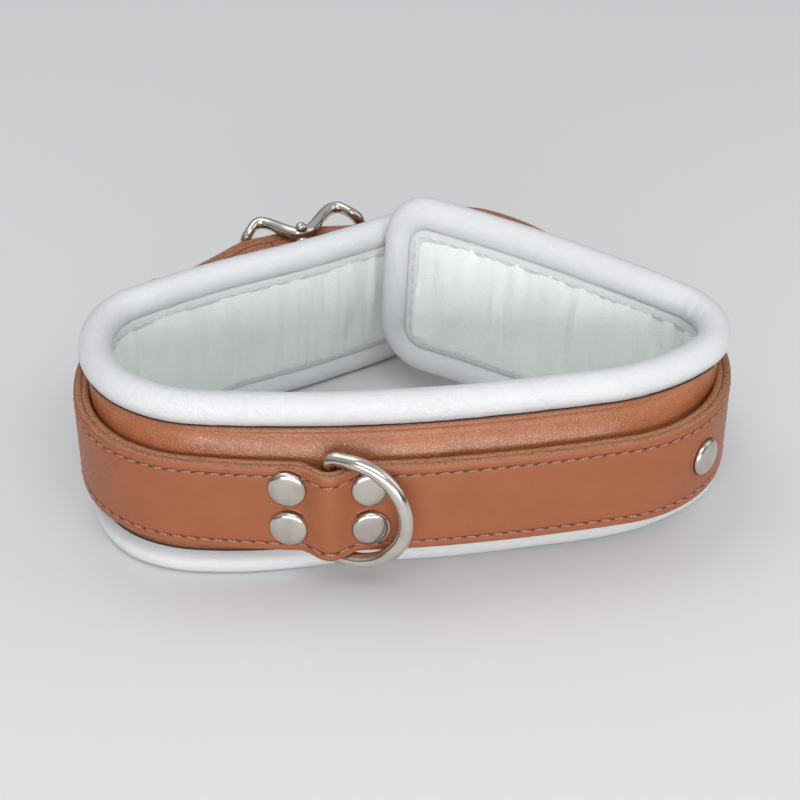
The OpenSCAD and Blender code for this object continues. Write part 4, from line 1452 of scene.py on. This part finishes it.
@dataclass
class Buckle:
    """The centre-bar buckle: frame, bar, bar heads, prong and the folded leather."""

    length: float = 40.0
    width: float = 33.4
    offset: float = 2.9
    wire: float = 3.6
    bar: float = 3.2
    humps: tuple[float, float] = (10.4, 12.6)
    drops: tuple[float, float] = (2.6, 4.2)
    # How far before each end of the frame its arch starts to drop, and over what run
    drop_from: tuple[float, float] = (5.0, 6.6)
    drop_run: float = 5.0
    corner: float = 6.0
    prong_width: float = 2.8
    prong_thickness: float = 1.75
    eye_radius: float = 3.55
    fold_radius: float = 3.7
    bore_radius: float = 1.72
    # Half sizes of the fold's window, along and up
    window: tuple[float, float] = (5.4, 3.4)

    def arch(self, x: Array) -> Array:
        """Arches the frame away from the bar by smooth steps, and drops its ends again."""
        right = x > 0
        reach = np.where(right, self.offset - self.drop_from[1], -self.offset - self.drop_from[0])
        reach = reach + (self.length - self.wire) / 2
        peak = np.where(right, self.humps[1], self.humps[0])
        drop = np.where(right, self.drops[1], self.drops[0])
        drop_share = smooth((np.abs(x) - reach) / self.drop_run)
        return peak * smooth(np.abs(x) / reach) - drop * drop_share

    def frame_surface(self) -> Surface:
        """Carries the wire's circle round a rounded rectangle that follows the arch."""
        half, rail = (self.length - self.wire) / 2, (self.width - self.wire) / 2
        a, b, r = half - self.corner, rail - self.corner, self.corner
        arc = (r * math.pi / 2, 90.0)
        line = PlanLine((a, -b - r), 0.0, (arc, (2 * b, 0.0), arc, (2 * a, 0.0)) * 2)
        path, heading = line.at(line.stations((12, 33) * 4))
        way = outward(heading)
        turn = np.linspace(0, 2 * math.pi, 18, endpoint=False)
        side = self.wire / 2 * np.cos(turn)[None, :]
        x = self.offset + path[:, :1] + side * way[:, :1]
        z = path[:, 1:] + side * way[:, 1:]
        # A slope thins a band that is shifted one way only, so the thickness grows with it
        slope = (self.arch(x + 0.01) - self.arch(x - 0.01)) / 0.02
        thick = self.wire / 2 * np.sin(turn)[None, :] * np.sqrt(1.0 + slope * slope)
        return swept(np.stack([x, self.arch(x) - thick, z], axis=-1), closed=True)

    def prong_surface(self) -> Surface:
        """Carries a rounded section along the prong's side line, which tapers to its tip."""
        knots = np.array([(2.3, 1.0), (3.6, 3.4), (6.0, 6.4), (9.5, 9.0), (13.9, 10.5),
                          (18.9, 11.45), (22.7, 11.5), (24.9, 10.75)])
        t = np.linspace(0, 1, len(knots))
        fine = np.linspace(0, 1, 44)
        kernel = np.hanning(11) / np.hanning(11).sum()
        line = np.stack([np.interp(fine, t, knots[:, k]) for k in (0, 1)], axis=-1)
        line = np.stack([np.convolve(np.pad(line[:, k], 5, mode="reflect", reflect_type="odd"),
                                     kernel, "valid") for k in (0, 1)], axis=-1)
        way = np.gradient(line, axis=0)
        way /= np.linalg.norm(way, axis=1, keepdims=True)
        normal = np.stack([-way[:, 1], way[:, 0]], axis=-1)
        outline = rounded_section(0.5, 0.5, 0.36)
        wide = (1.0 - 0.3 * fine ** 2) * (1 - 0.55 * smooth((fine - 0.93) / 0.07))
        wide = wide * self.prong_width
        thick = (1.0 - 0.28 * fine) * (1 - 0.5 * smooth((fine - 0.95) / 0.05))
        thick = thick * self.prong_thickness
        rings = np.zeros((len(fine), len(outline), 3))
        offset = normal[:, None] * (outline[:, 1] * thick[:, None])[..., None]
        rings[..., :2] = line[:, None] + offset
        rings[..., 2] = outline[:, 0] * wide[:, None]
        inner, outer = self.bar / 2 + 0.06, self.eye_radius
        half = (self.prong_width + 1.2) / 2
        eye = rounded_section((outer - inner) / 2, half, 0.6)
        profile = [(p[0] + (outer + inner) / 2, p[1]) for p in eye]
        eye_rings = lathe_rings(profile, 40)
        return swept(rings).merged(swept(eye_rings, closed=True))

    def fold_surface(self, strap: Strap) -> Surface:
        """Wraps the strap's end round the bar: a loop outline carried over the strap's width."""
        angle = np.radians(np.linspace(-112, 112, 33))
        loop = self.fold_radius * np.stack([np.cos(angle), np.sin(angle)], axis=-1)
        tail = np.array([(-3.2, 3.05), (-5.0, 2.55), (-7.0, 2.25), (-8.8, 2.08)])
        outline = np.concatenate([loop, tail, tail[::-1] * np.array([1, -1])])
        half = strap.width / 2
        z = np.array([-half, -half + 0.1, -half + 0.4, *np.linspace(-half + 1, half - 1, 21),
                      half - 0.4, half - 0.1, half])
        shrink = np.where(np.abs(z) > half - 0.02, 0.9, np.where(np.abs(z) > half - 0.2, 0.96, 1.0))
        ring = outline[None] * np.stack([np.ones_like(shrink), shrink], axis=-1)[:, None, :]
        rings = np.concatenate([ring, np.repeat(z[:, None, None], len(outline), axis=1)], axis=-1)
        edge = np.repeat((np.abs(z) > half - 0.3).astype(float)[:, None], len(outline), axis=1)
        marks = {"edge": edge, "groove": np.zeros_like(edge)}
        return swept(rings, uv=rings[..., [0, 2]] * UV_SCALE, marks=marks)

    def fold_cutters(self) -> Surface:
        """Makes the bore for the bar and the window for the prong."""
        x, y = np.array([1.0, 0.0, 0.0]), np.array([0.0, 1.0, 0.0])
        angle = np.linspace(0, 2 * math.pi, 32, endpoint=False)
        circle = self.bore_radius * np.stack([np.cos(angle), np.sin(angle), 0 * angle], axis=-1)
        box = rounded_section(*self.window, 0.8, 7)
        flat = box[:, :1] * x + box[:, 1:] * UP
        bore = leather_cutter(np.stack([circle - 14 * UP, circle + 14 * UP]))
        return bore.merged(leather_cutter(np.stack([flat - 7 * y, flat + 7 * y])))

    def build(self, finishes: Finishes, strap: Strap) -> None:
        """Makes and dresses the buckle's pieces."""

        def add(name: str, surface: Surface, *rest: object, **more: object) -> None:
            """Adds a piece that is drawn about the bar's middle."""
            placed(surface, strap.bar_middle, BUCKLE_ALONG, BUCKLE_OUT, UP)
            finishes.add(name, surface, *rest, **more)

        add("buckle_wire", self.frame_surface(), Slot.POLISHED, "buckle_frame")
        end, r = self.width / 2, self.bar / 2 - 0.02
        bar = lathe_rings([(0.02, -end), (r, -end + 0.02), (r, -3.0), (r, 3.0), (r, end - 0.02),
                           (0.02, end)], 32)
        add("buckle_bar", swept(bar), Slot.POLISHED, "centre_bar")
        dome = [(1.7, end - 0.7), (1.8, end - 0.2), (1.7, end + 0.45), (1.35, end + 1.05),
                (0.85, end + 1.45), (0.4, end + 1.65), (0.02, end + 1.7)]
        for side, name in ((-1, "lower"), (1, "upper")):
            head = lathe_rings([(a, side * b) for a, b in dome], 32)
            add(f"bar_head_{name}", swept(head), Slot.POLISHED, "bar_heads")
        add("buckle_tongue", self.prong_surface(), Slot.POLISHED, "buckle_prong", body=Body.PRONG)
        cutter = placed(self.fold_cutters(), strap.bar_middle, BUCKLE_ALONG, BUCKLE_OUT, UP)
        add("bar_fold", self.fold_surface(strap), Slot.STRAP, "buckle_fold", cutter=cutter)
        unit = capsule(2.4, 0.7, 0.46)
        levels = np.array([-9.2, -5.9, 5.9, 9.2])

        def stitch(index: Array, p: Array) -> Array:
            """Lays a stitch upright on the fold, four on its outer and four on its inner face."""
            y = np.where(index < 4, 2.22, -2.22) + p[..., 1]
            return np.stack([-7.6 + p[..., 2], y, levels[index % 4] + p[..., 0]], axis=-1)

        add("fold_stitches", repeated(unit, 8, stitch), Slot.STRAP_THREAD, "fold_seam")


@dataclass
class Keeper:
    """The sliding leather loop that holds the tail down, closed by a wire staple."""

    at: float = 43.0
    width: float = 9.0
    thickness: float = 1.3
    play: float = 0.5
    tail: float = 4.55

    def build(self, finishes: Finishes, strap: Strap) -> None:
        """Carries a rounded leather section round the strap and the tail."""
        low, high = -strap.layer - self.play, strap.layer + self.tail + self.play
        half = strap.width / 2 + self.play
        t = self.thickness / 2
        path = rounded_section((high - low) / 2 + t, half + t, 2.2, 6)
        path[:, 0] += (high + low) / 2
        way = np.roll(path, -1, axis=0) - np.roll(path, 1, axis=0)
        way /= np.linalg.norm(way, axis=1, keepdims=True)
        normal = np.stack([way[:, 1], -way[:, 0]], axis=-1)
        section = rounded_section(t, self.width / 2, 0.5, 3)
        rings = np.zeros((len(path), len(section), 3))
        rings[..., 0] = section[:, 1]
        rings[..., 1:] = path[:, None] + normal[:, None] * section[:, 0][None, :, None]
        edge = np.repeat((np.abs(section[:, 1]) > self.width / 2 - 0.2).astype(float)[None],
                         len(path), axis=0)
        origin, along, out = strap.frame_at(self.at)
        loop = swept(rings, closed=True, uv=rings[..., [0, 2]] * UV_SCALE,
                     marks={"edge": edge, "groove": np.zeros_like(edge)})
        finishes.add("keeper_band", placed(loop, origin, along, out, UP), Slot.STRAP, "keeper_loop",
                     body=Body.KEEPER)


def dress_bare_nodes(finishes: Finishes) -> None:
    """Gives the metal nodes that are shown as they are a finished material."""
    for name in ("ring_rivet_posts", "ring_rivet_washers", "side_rivet_posts",
                 "side_rivet_washers", "keeper_staple"):
        node = frame["nodes"][name]
        node.data.materials.clear()
        node.data.materials.append(finishes.by_slot[Slot.SATIN])


# ---- Studio ----


@dataclass
class Studio:
    """The floor, the soft lights and the camera."""

    camera_at: tuple[float, float, float] = (-0.00132, -0.42064, 0.2897)
    look_down: float = 33.0
    lens: float = 81.0
    floor_half: float = 2.5
    # Name, place, height of the point it faces over the middle, size and power of each light
    lamps: tuple[tuple[str, tuple[float, float, float], float, tuple[float, float], float], ...] = (
        ("key_light", (-0.3, 0.2, 0.95), 0.02, (0.8, 0.6), 1.9),
        ("front_light", (0.1, -0.6, 0.85), 0.03, (0.8, 0.4), 2.7),
        ("low_light", (0.05, -1.0, 0.22), 0.02, (1.2, 0.3), 6.4),
        ("right_light", (0.9, 0.1, 0.5), 0.03, (0.5, 0.8), 1.0))
    room_low: Colour = (0.2, 0.2, 0.21, 1.0)
    room_high: Colour = (0.84, 0.86, 0.89, 1.0)
    room_strength: float = 0.62

    def lamp(self, name: str, at: tuple[float, float, float], aim: tuple[float, float, float],
             size: tuple[float, float], power: float) -> None:
        """Hangs one soft rectangular light.

        Args:
            name: The light's name.
            at: Its place in metres.
            aim: The point that it faces.
            size: Its width and height in metres.
            power: Its power in watts.
        """
        data = bpy.data.lights.new(name, "AREA")
        data.shape = "RECTANGLE"
        data.size, data.size_y = size
        data.energy = power
        lamp = bpy.data.objects.new(name, data)
        lamp.location = at
        direction = np.array(aim) - np.array(at)
        flat = math.hypot(direction[0], direction[1])
        lamp.rotation_euler = (math.atan2(flat, -direction[2]), 0.0,
                               math.atan2(direction[1], direction[0]) - math.pi / 2)
        bpy.context.scene.collection.objects.link(lamp)

    def build(self, finishes: Finishes) -> None:
        """Sets up the floor, the lights, the surroundings and the camera."""
        corners = [(x * self.floor_half, y * self.floor_half, 0.0)
                   for x, y in ((-1, -1), (1, -1), (1, 1), (-1, 1))]
        mesh = bpy.data.meshes.new("studio_floor")
        mesh.from_pydata(corners, [], [(0, 1, 2, 3)])
        mesh.materials.append(finishes.floor)
        floor = bpy.data.objects.new("studio_floor", mesh)
        bpy.context.scene.collection.objects.link(floor)
        for name, at, aim_height, size, power in self.lamps:
            self.lamp(name, at, (0.0, 0.0, aim_height), size, power)
        world = bpy.data.worlds.new("studio_room")
        world.use_nodes = True
        # The room is darker towards the horizon, so that the metal has something to reflect
        graph = Graph(world.node_tree)
        split = graph.add("ShaderNodeSeparateXYZ")
        graph.feed(split, 0, graph.add("ShaderNodeTexCoord").outputs["Generated"])
        height = graph.ramp(split.outputs[2], 0.05, 0.55)
        graph.finish(world.node_tree.nodes["Background"], Strength=self.room_strength,
                     Color=graph.mix(height, self.room_low, self.room_high))
        scene = bpy.context.scene
        scene.world = world
        scene.view_settings.view_transform = "Standard"
        camera_data = bpy.data.cameras.new("studio_camera")
        camera_data.lens = self.lens
        camera_data.sensor_width = 36.0
        camera = bpy.data.objects.new("studio_camera", camera_data)
        camera.location = self.camera_at
        camera.rotation_euler = (math.radians(90.0 - self.look_down), 0.0, 0.0)
        scene.collection.objects.link(camera)
        scene.camera = camera


def main() -> None:
    """Builds the collar's looks in order."""
    logging.basicConfig(level=logging.INFO, format="%(name)s: %(message)s")
    finishes = Finishes()
    Studio().build(finishes)
    strap = Strap()
    NeckPad().build(finishes)
    strap.build(finishes)
    LeadRing().build(finishes, strap)
    Rivets().build(finishes, strap)
    Buckle().build(finishes, strap)
    Keeper().build(finishes, strap)
    dress_bare_nodes(finishes)


if __name__ == "__main__":
    main()
